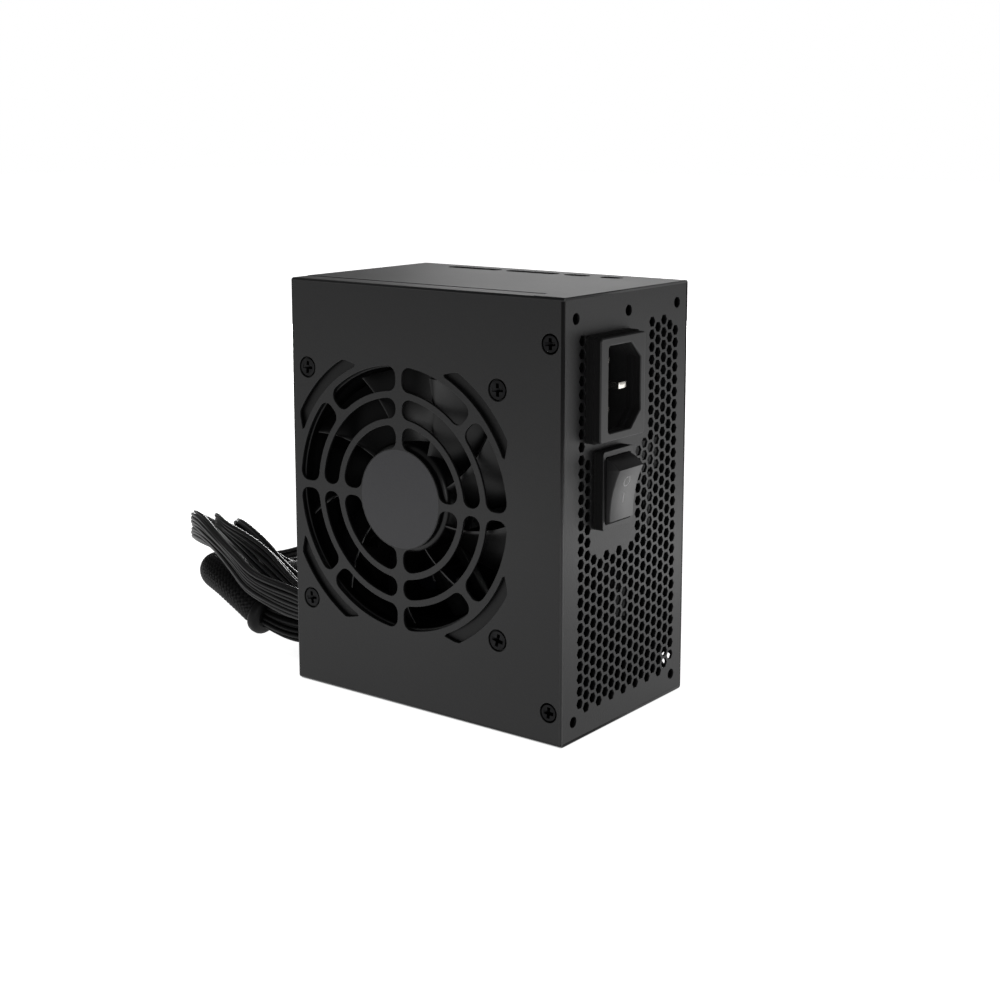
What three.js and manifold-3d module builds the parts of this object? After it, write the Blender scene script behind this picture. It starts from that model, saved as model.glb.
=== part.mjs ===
// A small-format computer power supply standing on its narrow side: a folded steel case,
// an 80 mm fan behind a punched grille, a mains inlet and a rocker switch on one edge,
// and four captive output cables that leave the other edge.
// Millimetres, +Z up. The origin is the middle of the narrow face that it stands on.
// +X points to the mains side, -Y to the fan side.
import * as THREE from 'three';
import { mergeVertices } from 'three/addons/utils/BufferGeometryUtils.js';
import Module from 'manifold-3d';

const wasm = await Module();
wasm.setup();

// Case
const caseWidth = 100;
const caseDepth = 63.5;
const caseHeight = 125;
const sheet = 0.8;
const seat = 0.3; // left between pieces that rest on each other
const seam = 0.15; // left beside a folded edge
const flangeDepth = 6.9;
const flangeStop = 10.5; // from the mains side to the end of the cover's flange
const flangeCorner = 1.5;

// Slots in the top and bottom walls, from the cable side
const slotWidth = 4;
const slotFromBack = 7.75;
const slotSpans = [[16.5, 37], [39.5, 59], [61.5, 70.3], [74.7, 82]];

// Fixing holes of the mains panel
const fixingHole = 3.2;
const fixingPitchY = 51.8;
const fixingFromTop = 6.1;
const fixingFromBottom = 5.85;

// Honeycomb in the mains panel
const ventAcross = 2.8; // across the flats of one hexagon
const ventPitchY = 3.2;
const ventPitchZ = 3.655;
const ventColumns = 16;
const ventFirstY = 9; // from the fan side of the case
const ventTopMargin = 10.5;
const ventBottomMargin = 8.4;
const ventFixingClear = 5.3;

// Fan
const fanSize = 80;
const fanThick = 15;
const fanFromCableSide = 42.15;
const fanHolePitch = 71.5;
const fanHole = 4.3;
const fanBore = 77.2;
const fanFlange = 3.4;
const fanCorner = 4;
const fanTubeWall = 1.6;
const hubRadius = 16.5;
const hubWall = 1.2;
const hubDrop = 1.2; // from the inside of the cover to the hub's front
const motorPlate = 1.5;
const motorPlateRadius = 17;
const strutWidth = 3;
const strutDepth = 2.5;
const rotorGap = 0.5; // between the hub's rim and the struts
const bladeCount = 9;
const bladeTip = 37.5;
const bladeThick = 1.1;
const bladeDrop = 0.55; // from the hub's front to the blades' leading edges
const bladeClear = 0.9; // from the blades to the struts
const bladeTurn = 35.5; // where the first tip's leading edge stands, in degrees
const bladeSweep = 17.5; // the tip leads the root by this
const bladeWrap = 29; // from the leading to the trailing edge
const shaftRadius = 1.5;
const runningGap = 0.06;
const pressGap = 0.03;
const bearingWall = 1.5;
const bearingTubeWall = 1.1;
const bearingTubeLength = 9;
const magnetWall = 1;
const magnetLength = 7.5;
const airGap = 0.5;
const statorThick = 5;
const poleWidth = 6.4;

// Grille punched into the fan cover
const webWidth = 2.3;
const hubDisc = 15;
const ringWeb = 2;
const innerRing = [15, 21.9];
const middleRing = [23.8, 30];
const outerRing = [32, 39.2];
const cornerRing = [41.3, 44.9];
const cornerSpan = [21, 17]; // either side of the diagonal, in degrees
const slotCorner = 2.8;

// Screws
const screwHead = 5.8;
const screwSink = 6.9;
const screwShank = 3;
const fanScrewShank = 3.8;
const coverScrewLength = 6;
const fanScrewLength = 12;
const headDepth = 0.7;
const coverScrewFromSide = 4.4;
const coverScrewFromTop = 12.6;
const coverScrewFromBottom = 9.3;

// Mains inlet
const inletFromTop = 26.15;
const inletY = -9.55;
const inletWidth = 23;
const inletHeight = 29.7;
const inletProud = 4.7;
const collarInset = 0.35;
const cavityY = -8.8;
const cavityWidth = 16.2;
const cavityHeight = 24.1;
const cavityChamferY = 4.8;
const cavityChamferZ = 4.6;
const cavityDeep = 17;
const inletFloor = 1.5;
const inletWall = 1.75;
const pinWidth = 4;
const pinThick = 2;
const pinPitch = 14;
const pinOffset = 2;
const linePinTip = 5; // below the mouth of the socket
const earthPinTip = 2;
const pinTail = 6;
const ventAboveInlet = 3; // plain metal left under the inlet
const inletPlain = 8.9; // plain metal left beside the inlet

// Rocker switch
const switchBelowInlet = 28.6;
const switchY = -9.3;
const bezelWidth = 15;
const bezelHeight = 22.3;
const bezelProud = 3.2;
const switchBodyWidth = 13.6;
const switchBodyHeight = 20.8;
const switchBodyDeep = 14;
const switchFloor = 2;
const rockerWidth = 11.2;
const rockerGap = 0.3;
const rockerRadius = 9.7;
const rockerFace = 52.3; // half the angle that the pressed face covers, in degrees
const rockerEnd = 34; // how far the round ends reach past the face
const rockerBack = 8.9;
const rockerSag = 0.9;
const rockerTravel = 24;
const pivotProud = 0.28; // past the panel's outer face
const trunnionRadius = 1.2;
const trunnionGap = 0.08;
const windowHeight = 19.7;
const switchPlainBelow = 7;
const switchPlainBeside = 6.3;

// Board and what stands on it
const boardThick = 1.6;
const boardGap = 4.35; // from the back wall
const boardMargin = 2;
const boardNotch = 14;
const standoffRadius = 2.6;
const boardHole = 3.4;
const standoffInset = 9;
const standoffFromEnds = 22;
const insulator = 0.3;
const boardPartGap = 1.5; // left between neighbours on the board
const sinkThick = 2.5;
const finThick = 1.2;
const finReach = 5;
const primarySink = { x: -3, from: 50, fromTop: 9, height: 32, fins: 5 };
const secondarySink = { x: -45, from: 38, to: 66, height: 32, fins: 5 };
const rectifier = { thick: 3.7, wide: 22, up: 10, reach: 22, lift: 4 };
const bulkRadius = 11;
const bulkHeight = 32;
const bulkFromTop = 20;
const filmCapacitor = { x: 38, z: caseHeight - 50.5, wide: 16, high: 9, deep: 15 };
const chokeX = 31.5;
const chokeRing = 7.5;
const chokeWinding = 3.6;
const fuseX = 42;
const fuseLength = 17;
const fuseRadius = 2.6;
const boostInductor = { x: 24, z: 28, ring: 10, winding: 5 };
const mainTransformer = { z: 86, width: 32, height: 27, coreThick: 11, leg: 8, yoke: 4, depth: 25 };
const standbyTransformer = { x: 20, z: 58, width: 17, height: 15, coreThick: 6, leg: 4, yoke: 2, depth: 13.3 };
const outputInductor = { x: -21, z: 52, ring: 8, winding: 4 };
const outputCanX = -30;
const outputCanPitch = 10;
const outputCanZ = 26;
const outputCanRadius = 4;
const outputCanHeight = 18;

// Cable outlet
const outletY = -16.35;
const outletZ = 13.9;
const outletWidth = 20.5;
const outletHeight = 18;
const outletCorner = 4;
const grommetWall = 1.4;
const grommetLip = 1.6;
const grommetRim = 1.7;

// Cables
const sleeveDiameter = 11;
const bundleDiameter = 7;
const thinDiameter = 5.6;
const cordStart = 1.5; // inside the cable side of the case
const loopX = -84;
const loopY = 75;
const terminalPitch = 4.2;
const driveTerminalPitch = 5.08;
const wellDepth = 9;
const connectorSkirt = 1.2;
const connectorLength = 20;
const connectorLift = 0.1;

const halfWidth = caseWidth / 2;
const front = -caseDepth / 2;
const back = caseDepth / 2;
const inFront = front + sheet;
const inBack = back - sheet;
const inTop = caseHeight - sheet;
const panelIn = halfWidth - sheet;
const fanX = fanFromCableSide - halfWidth;
const fanZ = caseHeight / 2;
const inletZ = caseHeight - inletFromTop;
const switchZ = inletZ - switchBelowInlet;
const flangeEnd = halfWidth - flangeStop;
const seamY = front + flangeDepth;
const boardBack = inBack - boardGap;
const boardFace = boardBack - boardThick;
const partsBase = boardFace - seat;

// Materials

const finish = (color, roughness, metalness) => new THREE.MeshStandardMaterial({ color, roughness, metalness });
const blackPaint = finish(0x1c1c1d, 0.7, 0.1);
const fanPlastic = finish(0x121213, 0.5, 0);
const screwBlack = finish(0x161617, 0.45, 0.7);
const inletPlastic = finish(0x19191a, 0.55, 0);
const nickel = finish(0xc8c6c0, 0.25, 1);
const rockerPlastic = finish(0x232324, 0.4, 0);
const grommetNylon = finish(0x0f0f10, 0.6, 0);
const boardGreen = finish(0x1d4a2a, 0.5, 0);
const brass = finish(0xb08d4a, 0.35, 1);
const zinc = finish(0x9c9ea2, 0.35, 1);
const steelBright = finish(0x8d8f93, 0.3, 1);
const magnetBlack = finish(0x2b2a2c, 0.6, 0.3);
const copper = finish(0x9a5a2c, 0.4, 0.8);
const mylar = finish(0x18181a, 0.35, 0);
const canSleeve = finish(0x23262e, 0.35, 0.1);
const ferrite = finish(0x2f2f31, 0.7, 0.1);
const tapeYellow = finish(0xc9a53a, 0.5, 0);
const filmBox = finish(0xb9a46a, 0.5, 0);
const ceramic = finish(0xd8d2c4, 0.5, 0);
const epoxy = finish(0x1a1a1c, 0.5, 0);
const aluminium = finish(0x9fa3a7, 0.4, 1);
const sleeveNylon = finish(0x141415, 0.8, 0);
const wireBlack = finish(0x1f1f20, 0.55, 0);
const connectorNylon = finish(0x151516, 0.6, 0);

// Shapes

const point = (x, y) => new THREE.Vector2(x, y);
const degrees = Math.PI / 180;

// Points of an arc from one angle to another, in degrees
function arc(x, y, radius, from, to, steps) {
  return Array.from({ length: steps + 1 }, (_, i) => {
    const a = (from + ((to - from) * i) / steps) * degrees;
    return point(x + radius * Math.cos(a), y + radius * Math.sin(a));
  });
}

const disc = (x, y, radius, sides, turn = 0) => arc(x, y, radius, turn, turn + 360, sides).slice(0, sides);

const rectangle = (x0, x1, y0, y1) => [point(x0, y0), point(x1, y0), point(x1, y1), point(x0, y1)];

function roundedRectangle(x0, x1, y0, y1, radius, steps = 3) {
  return [
    ...arc(x1 - radius, y0 + radius, radius, -90, 0, steps),
    ...arc(x1 - radius, y1 - radius, radius, 0, 90, steps),
    ...arc(x0 + radius, y1 - radius, radius, 90, 180, steps),
    ...arc(x0 + radius, y0 + radius, radius, 180, 270, steps),
  ];
}

// A closed mesh becomes a solid: shared points merged, slivers at the poles left out,
// and its faces turned outwards
function solid(geometry) {
  const bare = geometry.clone();
  bare.deleteAttribute('normal');
  bare.deleteAttribute('uv');
  const merged = mergeVertices(bare, 1e-4);
  const at = merged.attributes.position.array;
  const kept = [];
  let volume = 0;
  for (let i = 0; i < merged.index.count; i += 3) {
    const [a, b, c] = [0, 1, 2].map((k) => merged.index.array[i + k]);
    if (a === b || b === c || c === a) continue;
    kept.push(a, b, c);
    const [p, q, r] = [a, b, c].map((k) => new THREE.Vector3().fromArray(at, 3 * k));
    volume += p.dot(q.cross(r));
  }
  if (volume < 0) {
    for (let i = 0; i < kept.length; i += 3) [kept[i + 1], kept[i + 2]] = [kept[i + 2], kept[i + 1]];
  }
  const mesh = new wasm.Mesh({ numProp: 3, vertProperties: new Float32Array(at), triVerts: new Uint32Array(kept) });
  return new wasm.Manifold(mesh);
}

// Where a drawing plane and its normal point: x holds drawings in (y, z), y in (x, z), z in (x, y)
const planes = {
  x: new THREE.Matrix4().set(0, 0, 1, 0, 1, 0, 0, 0, 0, 1, 0, 0, 0, 0, 0, 1),
  y: new THREE.Matrix4().set(1, 0, 0, 0, 0, 0, -1, 0, 0, 1, 0, 0, 0, 0, 0, 1),
  z: new THREE.Matrix4(),
};

// An outline with holes, carried along an axis from one place to another
function prism(axis, from, to, outline, holes = []) {
  const geometry = new THREE.ExtrudeGeometry(new THREE.Shape(outline), { depth: to - from, bevelEnabled: false });
  if (axis === 'y') geometry.translate(0, 0, -to);
  else geometry.translate(0, 0, from);
  const body = solid(geometry.applyMatrix4(planes[axis]));
  if (!holes.length) return body;
  return body.subtract(union(holes.map((hole) => prism(axis, from - 1, to + 1, hole))));
}

function box(x0, x1, y0, y1, z0, z1) {
  const geometry = new THREE.BoxGeometry(x1 - x0, y1 - y0, z1 - z0);
  return solid(geometry.translate((x0 + x1) / 2, (y0 + y1) / 2, (z0 + z1) / 2));
}

const rod = (axis, from, to, a, b, radius, sides = 16) => prism(axis, from, to, disc(a, b, radius, sides));

// A profile of [radius, place along Y] turned about the line x, z along Y
function turned(profile, x, z, sides) {
  const geometry = new THREE.LatheGeometry(profile.map(([r, y]) => point(r, y)), sides);
  return solid(geometry.translate(x, 0, z));
}

const union = (solids) => solids.reduce((sum, next) => sum.add(next));

const root = new THREE.Group();

function part(name, shape, material) {
  const { vertProperties, triVerts } = shape.getMesh();
  const geometry = new THREE.BufferGeometry();
  geometry.setAttribute('position', new THREE.BufferAttribute(new Float32Array(vertProperties), 3));
  geometry.setIndex(new THREE.BufferAttribute(new Uint32Array(triVerts), 1));
  geometry.computeVertexNormals();
  const mesh = new THREE.Mesh(geometry, material);
  mesh.name = name;
  root.add(mesh);
}

// Fan cover and its grille

const fanScrewPlaces = [[1, 1], [-1, 1], [-1, -1], [1, -1]].map(([a, b]) => [
  fanX + (a * fanHolePitch) / 2,
  fanZ + (b * fanHolePitch) / 2,
]);
const coverScrewPlaces = [
  [halfWidth - coverScrewFromSide, caseHeight - coverScrewFromTop],
  [halfWidth - coverScrewFromSide, coverScrewFromBottom],
];

// One opening between two rings and two straight webs, with round corners
function ringSlot(inner, outer, from, to) {
  const c = slotCorner;
  const lean = (radius) => Math.asin((webWidth / 2 + c) / radius) / degrees;
  const corner = (radius, angle, start, end) => {
    const a = angle * degrees;
    return arc(fanX + radius * Math.cos(a), fanZ + radius * Math.sin(a), c, start, end, 2);
  };
  const near = lean(inner + c);
  const far = lean(outer - c);
  return [
    ...corner(inner + c, from + near, from + near + 180, from + 270),
    ...corner(outer - c, from + far, from - 90, from + far),
    ...arc(fanX, fanZ, outer, from + far, to - far, Math.round((to - from) / 15)).slice(1, -1),
    ...corner(outer - c, to - far, to - far, to + 90),
    ...corner(inner + c, to - near, to + 90, to - near + 180),
    ...arc(fanX, fanZ, inner, to - near, from + near, Math.round((to - from) / 15)).slice(1, -1),
  ];
}

// The opening at a corner of the fan, narrower outside than inside
function cornerSlot(middle) {
  const [inner, outer] = cornerRing;
  const [innerSpan, outerSpan] = cornerSpan;
  return [
    ...arc(fanX, fanZ, inner, middle + innerSpan, middle - innerSpan, 4),
    ...arc(fanX, fanZ, outer, middle - outerSpan, middle + outerSpan, 3),
  ];
}

function fanCover() {
  const quarters = [0, 90, 180, 270];
  const holes = [
    ...quarters.map((a) => ringSlot(hubDisc, innerRing[1], a, a + 90)),
    ...quarters.map((a) => ringSlot(innerRing[1] + ringWeb, middleRing[1], a, a + 90)),
    ...[...quarters, ...quarters.map((a) => a + 45)].map((a) =>
      ringSlot(middleRing[1] + ringWeb, outerRing[1], a, a + 45)),
    ...quarters.map((a) => cornerSlot(a + 45)),
  ];
  const plate = prism('y', front, inFront, rectangle(-halfWidth, halfWidth, 0, caseHeight), holes);
  const sinks = [...fanScrewPlaces, ...coverScrewPlaces].map(([x, z]) =>
    turned([[0, front - 0.1], [screwSink / 2, front - 0.1], [screwSink / 2, front],
      [fanScrewShank / 2 + 0.2, inFront], [fanScrewShank / 2 + 0.2, inFront + 0.1], [0, inFront + 0.1]], x, z, 10));
  const flangeOutline = [
    point(-halfWidth, front),
    point(flangeEnd, front),
    ...arc(flangeEnd - flangeCorner, seamY - flangeCorner, flangeCorner, 0, 90, 4),
    point(-halfWidth, seamY),
  ];
  const flanges = [[0, sheet], [inTop, caseHeight]].map(([low, high]) => prism('z', low, high, flangeOutline));
  return union([plate, ...flanges]).subtract(union(sinks));
}

part('fan_cover', fanCover(), blackPaint);

// Countersunk screws, their heads level with the cover

function countersunk([x, z], shank, length) {
  const top = front + 0.1;
  return turned([[0, top], [screwHead / 2, top], [shank / 2, top + headDepth], [shank / 2, top + length], [0, top + length]],
    x, z, 10);
}

coverScrewPlaces.forEach((place, i) =>
  part(`cover_screw_${i + 1}`, countersunk(place, screwShank, coverScrewLength), screwBlack));
fanScrewPlaces.forEach((place, i) =>
  part(`fan_screw_${i + 1}`, countersunk(place, fanScrewShank, fanScrewLength), screwBlack));

// Base case: back, top, bottom and cable side folded from one sheet

const slotY = back - slotFromBack;
const backHole = 2.2;
const backHoleFromSide = 4.7;
const backHoleFromEnd = 8.3;
const lugWidth = 8;
const lugReach = 5; // past the screw
const tabReach = 6;
const tabSpans = [[-7, 7]];

const standoffPlaces = [
  [-halfWidth + standoffInset, standoffFromEnds],
  [-halfWidth + standoffInset, caseHeight - standoffFromEnds],
  [halfWidth - standoffInset, standoffFromEnds + boardNotch],
  [halfWidth - standoffInset, caseHeight - standoffFromEnds],
];

function baseCase() {
  const tray = box(-halfWidth, halfWidth, inFront, back, 0, caseHeight)
    .subtract(box(-halfWidth + sheet, halfWidth + 1, inFront - 1, inBack, sheet, inTop));
  const stepY = seamY + seam;
  const recess = [[-1, sheet], [inTop, caseHeight + 1]].map(([low, high]) =>
    box(-halfWidth - 1, flangeEnd + seam, front - 1, stepY, low, high));
  // The wall is set down by one thickness behind the cover's flange
  const tongue = [[sheet + seat, 2 * sheet + seat, sheet / 2, 2 * sheet + seat],
    [inTop - sheet - seat, inTop - seat, inTop - sheet - seat, inTop + sheet / 2]]
    .flatMap(([low, high, riserLow, riserHigh]) => [
      box(-halfWidth + 2 * sheet, flangeEnd - sheet, inFront + seat, stepY + sheet, low, high),
      box(-halfWidth + 2 * sheet, flangeEnd - sheet, stepY, stepY + sheet, riserLow, riserHigh),
    ]);
  const lugs = coverScrewPlaces.map(([x, z]) => {
    const [low, high] = z > fanZ ? [z - lugReach, inTop + sheet / 2] : [sheet / 2, z + lugReach];
    return box(x - lugWidth / 2, panelIn - seat, inFront, inFront + sheet, low, high)
      .subtract(rod('y', front, inFront + 2 * sheet, x, z, screwShank / 2 + 0.1));
  });
  const tabs = tabSpans.flatMap(([y0, y1]) => [
    box(panelIn - sheet, panelIn, y0, y1, sheet / 2, sheet + tabReach),
    box(panelIn - sheet, panelIn, y0, y1, inTop - tabReach, inTop + sheet / 2),
  ]);
  const slots = slotSpans.map(([a, b]) =>
    prism('z', -1, caseHeight + 1,
      roundedRectangle(a - halfWidth, b - halfWidth, slotY - slotWidth / 2, slotY + slotWidth / 2, slotWidth / 2 - 0.01, 2)));
  const holes = [backHoleFromEnd, caseHeight - backHoleFromEnd].map((z) =>
    rod('y', inBack - 1, back + 1, halfWidth - backHoleFromSide, z, backHole));
  const wall = grommetWall + seat / 2;
  const outlet = prism('x', -halfWidth - 1, -halfWidth + sheet + 1, roundedRectangle(
    outletY - outletWidth / 2 - wall, outletY + outletWidth / 2 + wall,
    outletZ - outletHeight / 2 - wall, outletZ + outletHeight / 2 + wall, outletCorner, 2));
  return union([tray.subtract(union(recess)), ...tongue, ...lugs, ...tabs])
    .subtract(union([...slots, ...holes, outlet]));
}

part('base_case', baseCase(), blackPaint);

// Mains panel with its honeycomb

const inletBodyWidth = cavityWidth + 2 * inletWall;
const inletBodyHeight = cavityHeight + 2 * inletWall;
const panelCut = 0.2;

function ventPlaces() {
  const places = [];
  const keepOut = [
    [inletY - inletWidth / 2 - 0.5, inletY + inletWidth / 2 + inletPlain, inletZ - inletHeight / 2 - ventAboveInlet],
    [switchY - bezelWidth / 2 - 1, switchY + bezelWidth / 2 + switchPlainBeside,
      switchZ - bezelHeight / 2 - switchPlainBelow],
  ];
  const fixings = fixingPlaces();
  for (let column = 0; column < ventColumns; column += 1) {
    const y = front + ventFirstY + column * ventPitchY;
    const first = caseHeight - ventTopMargin - (column % 2 ? 0 : ventPitchZ / 2);
    for (let z = first; z > ventBottomMargin; z -= ventPitchZ) {
      const blocked = keepOut.some(([y0, y1, z0]) => y > y0 && y < y1 && z > z0);
      const nearFixing = fixings.some(([fy, fz]) => Math.hypot(y - fy, z - fz) < ventFixingClear);
      if (!blocked && !nearFixing) places.push([y, z]);
    }
  }
  return places;
}

function fixingPlaces() {
  const top = caseHeight - fixingFromTop;
  return [
    [-fixingPitchY / 2, top], [0, top], [fixingPitchY / 2, top],
    [-fixingPitchY / 2, fixingFromBottom], [fixingPitchY / 2, fixingFromBottom],
  ];
}

function mainsPanel() {
  const hexagonRadius = ventAcross / Math.sqrt(3);
  const inletCut = rectangle(
    cavityY - inletBodyWidth / 2 - panelCut, cavityY + inletBodyWidth / 2 + panelCut,
    inletZ - inletBodyHeight / 2 - panelCut, inletZ + inletBodyHeight / 2 + panelCut);
  const switchCut = rectangle(
    switchY - switchBodyWidth / 2 - panelCut, switchY + switchBodyWidth / 2 + panelCut,
    switchZ - switchBodyHeight / 2 - panelCut, switchZ + switchBodyHeight / 2 + panelCut);
  const holes = [
    ...ventPlaces().map(([y, z]) => disc(y, z, hexagonRadius, 6)),
    ...fixingPlaces().map(([y, z]) => disc(y, z, fixingHole / 2, 12)),
    inletCut,
    switchCut,
  ];
  return prism('x', panelIn, halfWidth, rectangle(inFront, inBack, sheet, inTop), holes);
}

part('mains_panel', mainsPanel(), blackPaint);

// Fan

const fanBack = inFront + fanThick;
const plateFront = fanBack - motorPlate;
const hubFront = inFront + hubDrop;
const hubBack = fanBack - strutDepth - rotorGap;
const bearingOuter = shaftRadius + runningGap + bearingWall;
const tubeInner = bearingOuter + pressGap;
const tubeOuter = tubeInner + bearingTubeWall;
const tubeFront = plateFront - bearingTubeLength;

function ring(outer, inner, from, to, sides) {
  return prism('y', from, to, disc(fanX, fanZ, outer, sides), [disc(fanX, fanZ, inner, sides)]);
}

function fanFrame() {
  const half = fanSize / 2;
  const bore = fanBore / 2;
  const block = prism('y', inFront, fanBack,
    roundedRectangle(fanX - half, fanX + half, fanZ - half, fanZ + half, fanCorner),
    [disc(fanX, fanZ, bore, 32), ...fanScrewPlaces.map(([x, z]) => disc(x, z, fanHole / 2, 8))]);
  // Between its two flanges the frame is only a round tube
  const waist = prism('y', inFront + fanFlange, fanBack - fanFlange,
    rectangle(fanX - half - 1, fanX + half + 1, fanZ - half - 1, fanZ + half + 1),
    [disc(fanX, fanZ, bore + fanTubeWall, 32)]);
  const struts = [35, 125, 215, 305].map((angle) => {
    const a = angle * degrees;
    const reach = bore + fanTubeWall / 2;
    const across = [point(-strutWidth / 2, 0), point(strutWidth / 2, 0), point(strutWidth / 2, reach), point(-strutWidth / 2, reach)];
    const outline = across.map((p) => p.rotateAround(point(0, 0), a).add(point(fanX, fanZ)));
    return prism('y', fanBack - strutDepth, fanBack, outline);
  });
  const mount = rod('y', plateFront, fanBack, fanX, fanZ, motorPlateRadius, 16);
  const tube = ring(tubeOuter, tubeInner, tubeFront, fanBack, 12);
  const well = rod('y', tubeFront - 1, plateFront, fanX, fanZ, tubeInner, 12);
  return union([block.subtract(waist), ...struts, mount, tube]).subtract(well);
}

// A blade is a sheet of stations from root to tip and from the leading to the trailing edge,
// given two faces and a rim
function blade(index) {
  const rootRadius = hubRadius - hubWall / 2;
  const [spans, chords] = [3, 3];
  const leading = hubFront + bladeDrop;
  const trailing = fanBack - strutDepth - bladeClear;
  const at = (i, j, side) => {
    const s = i / spans;
    const t = j / chords;
    const radius = rootRadius + (bladeTip - rootRadius) * s;
    const bow = 0.16 * Math.sin(Math.PI * t);
    const turn = bladeTurn + index * (360 / bladeCount) - bladeSweep * (1 - s) - bladeWrap * t;
    const half = (bladeThick / 2) * (1 - 0.35 * Math.abs(2 * t - 1)) * side;
    const a = (turn + (half * 0.75 / radius) / degrees) * degrees;
    const y = leading + (trailing - leading) * (t + bow * (1 - t)) + half * 0.65;
    return [fanX + radius * Math.cos(a), y, fanZ + radius * Math.sin(a)];
  };
  const positions = [];
  const index2 = (i, j, side) => side * (spans + 1) * (chords + 1) + i * (chords + 1) + j;
  for (const side of [-1, 1]) {
    for (let i = 0; i <= spans; i += 1) for (let j = 0; j <= chords; j += 1) positions.push(...at(i, j, side));
  }
  const faces = [];
  const quad = (a, b, c, d) => faces.push(a, b, c, a, c, d);
  for (let i = 0; i < spans; i += 1) {
    for (let j = 0; j < chords; j += 1) {
      quad(index2(i, j, 0), index2(i, j + 1, 0), index2(i + 1, j + 1, 0), index2(i + 1, j, 0));
      quad(index2(i, j, 1), index2(i + 1, j, 1), index2(i + 1, j + 1, 1), index2(i, j + 1, 1));
    }
  }
  for (let i = 0; i < spans; i += 1) {
    quad(index2(i, 0, 0), index2(i + 1, 0, 0), index2(i + 1, 0, 1), index2(i, 0, 1));
    quad(index2(i + 1, chords, 0), index2(i, chords, 0), index2(i, chords, 1), index2(i + 1, chords, 1));
  }
  for (let j = 0; j < chords; j += 1) {
    quad(index2(0, j + 1, 0), index2(0, j, 0), index2(0, j, 1), index2(0, j + 1, 1));
    quad(index2(spans, j, 0), index2(spans, j + 1, 0), index2(spans, j + 1, 1), index2(spans, j, 1));
  }
  const geometry = new THREE.BufferGeometry();
  geometry.setAttribute('position', new THREE.BufferAttribute(new Float32Array(positions), 3));
  geometry.setIndex(faces);
  return solid(geometry);
}

function fanRotor() {
  const inner = hubRadius - hubWall;
  const boss = shaftRadius + 1.5;
  const cup = turned([[0, hubFront], [hubRadius, hubFront], [hubRadius, hubBack],
    [inner, hubBack], [inner, hubFront + hubWall], [boss, hubFront + hubWall], [boss, hubFront + hubWall + 1.2],
    [0, hubFront + hubWall + 1.2]], fanX, fanZ, 24);
  const hole = rod('y', hubFront + 0.5, hubBack, fanX, fanZ, shaftRadius + pressGap, 12);
  const blades = Array.from({ length: bladeCount }, (_, i) => blade(i));
  return union([cup, ...blades]).subtract(hole)
    .subtract(rod('y', hubFront + hubWall + 1.2, hubBack, fanX, fanZ, inner, 24));
}

part('fan_frame', fanFrame(), fanPlastic);
part('fan_rotor', fanRotor(), fanPlastic);
part('fan_shaft', rod('y', hubFront + 0.5 + pressGap, plateFront - 0.2, fanX, fanZ, shaftRadius, 12), steelBright);
part('fan_bearing', prism('y', tubeFront, plateFront - pressGap,
  disc(fanX, fanZ, bearingOuter, 12), [disc(fanX, fanZ, shaftRadius + runningGap, 12)]), brass);

const magnetOuter = hubRadius - hubWall - pressGap;
part('fan_magnet', ring(magnetOuter, magnetOuter - magnetWall, hubBack - magnetLength, hubBack, 24), magnetBlack);

// Four poles on a core that is pushed over the bearing tube
function fanStator() {
  const poleReach = magnetOuter - magnetWall - airGap;
  const shoe = 1.2;
  const [from, to] = [hubBack - magnetLength + 1, hubBack - magnetLength + 1 + statorThick];
  const core = ring(tubeOuter + pressGap + 2.2, tubeOuter + pressGap, from, to, 12);
  const poles = [0, 90, 180, 270].map((angle) => {
    const a = angle * degrees;
    const bar = rectangle(tubeOuter + 1.5, poleReach - shoe / 2, -poleWidth / 2, poleWidth / 2);
    const head = [...arc(0, 0, poleReach, -34, 34, 3), ...arc(0, 0, poleReach - shoe, 34, -34, 1)];
    const place = (outline) => outline.map((p) => p.rotateAround(point(0, 0), a).add(point(fanX, fanZ)));
    return prism('y', from, to, place(bar)).add(prism('y', from, to, place(head)));
  });
  return union([core, ...poles]);
}

part('fan_stator', fanStator(), steelBright);

// Mains inlet

function inletHousing() {
  const proudFace = halfWidth + inletProud;
  const step = halfWidth + inletProud / 2;
  const outline = (inset) => roundedRectangle(inletY - inletWidth / 2 + inset, inletY + inletWidth / 2 - inset,
    inletZ - inletHeight / 2 + inset, inletZ + inletHeight / 2 - inset, 1, 2);
  const bodyBack = proudFace - cavityDeep - inletFloor;
  const body = prism('x', bodyBack, halfWidth + 0.5, rectangle(
    cavityY - inletBodyWidth / 2, cavityY + inletBodyWidth / 2, inletZ - inletBodyHeight / 2, inletZ + inletBodyHeight / 2));
  const y0 = cavityY - cavityWidth / 2;
  const y1 = cavityY + cavityWidth / 2;
  const z0 = inletZ - cavityHeight / 2;
  const z1 = inletZ + cavityHeight / 2;
  const cavity = prism('x', proudFace - cavityDeep, proudFace + 1, [
    ...arc(y0 + 1, z0 + 1, 1, 180, 270, 2),
    point(y1 - cavityChamferY, z0), point(y1, z0 + cavityChamferZ),
    point(y1, z1 - cavityChamferZ), point(y1 - cavityChamferY, z1),
    ...arc(y0 + 1, z1 - 1, 1, 90, 180, 2),
  ]);
  const pinHoles = inletPins.map(([, y, z]) => pinBox(y, z, bodyBack - 1, proudFace - cavityDeep + 1, pressGap));
  return union([prism('x', halfWidth, step, outline(0)), prism('x', step, proudFace, outline(collarInset)), body])
    .subtract(union([cavity, ...pinHoles]));
}

const inletPins = [
  ['line_pin', cavityY - pinOffset, inletZ + pinPitch / 2, linePinTip],
  ['neutral_pin', cavityY - pinOffset, inletZ - pinPitch / 2, linePinTip],
  ['earth_pin', cavityY + pinOffset, inletZ, earthPinTip],
];

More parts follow.
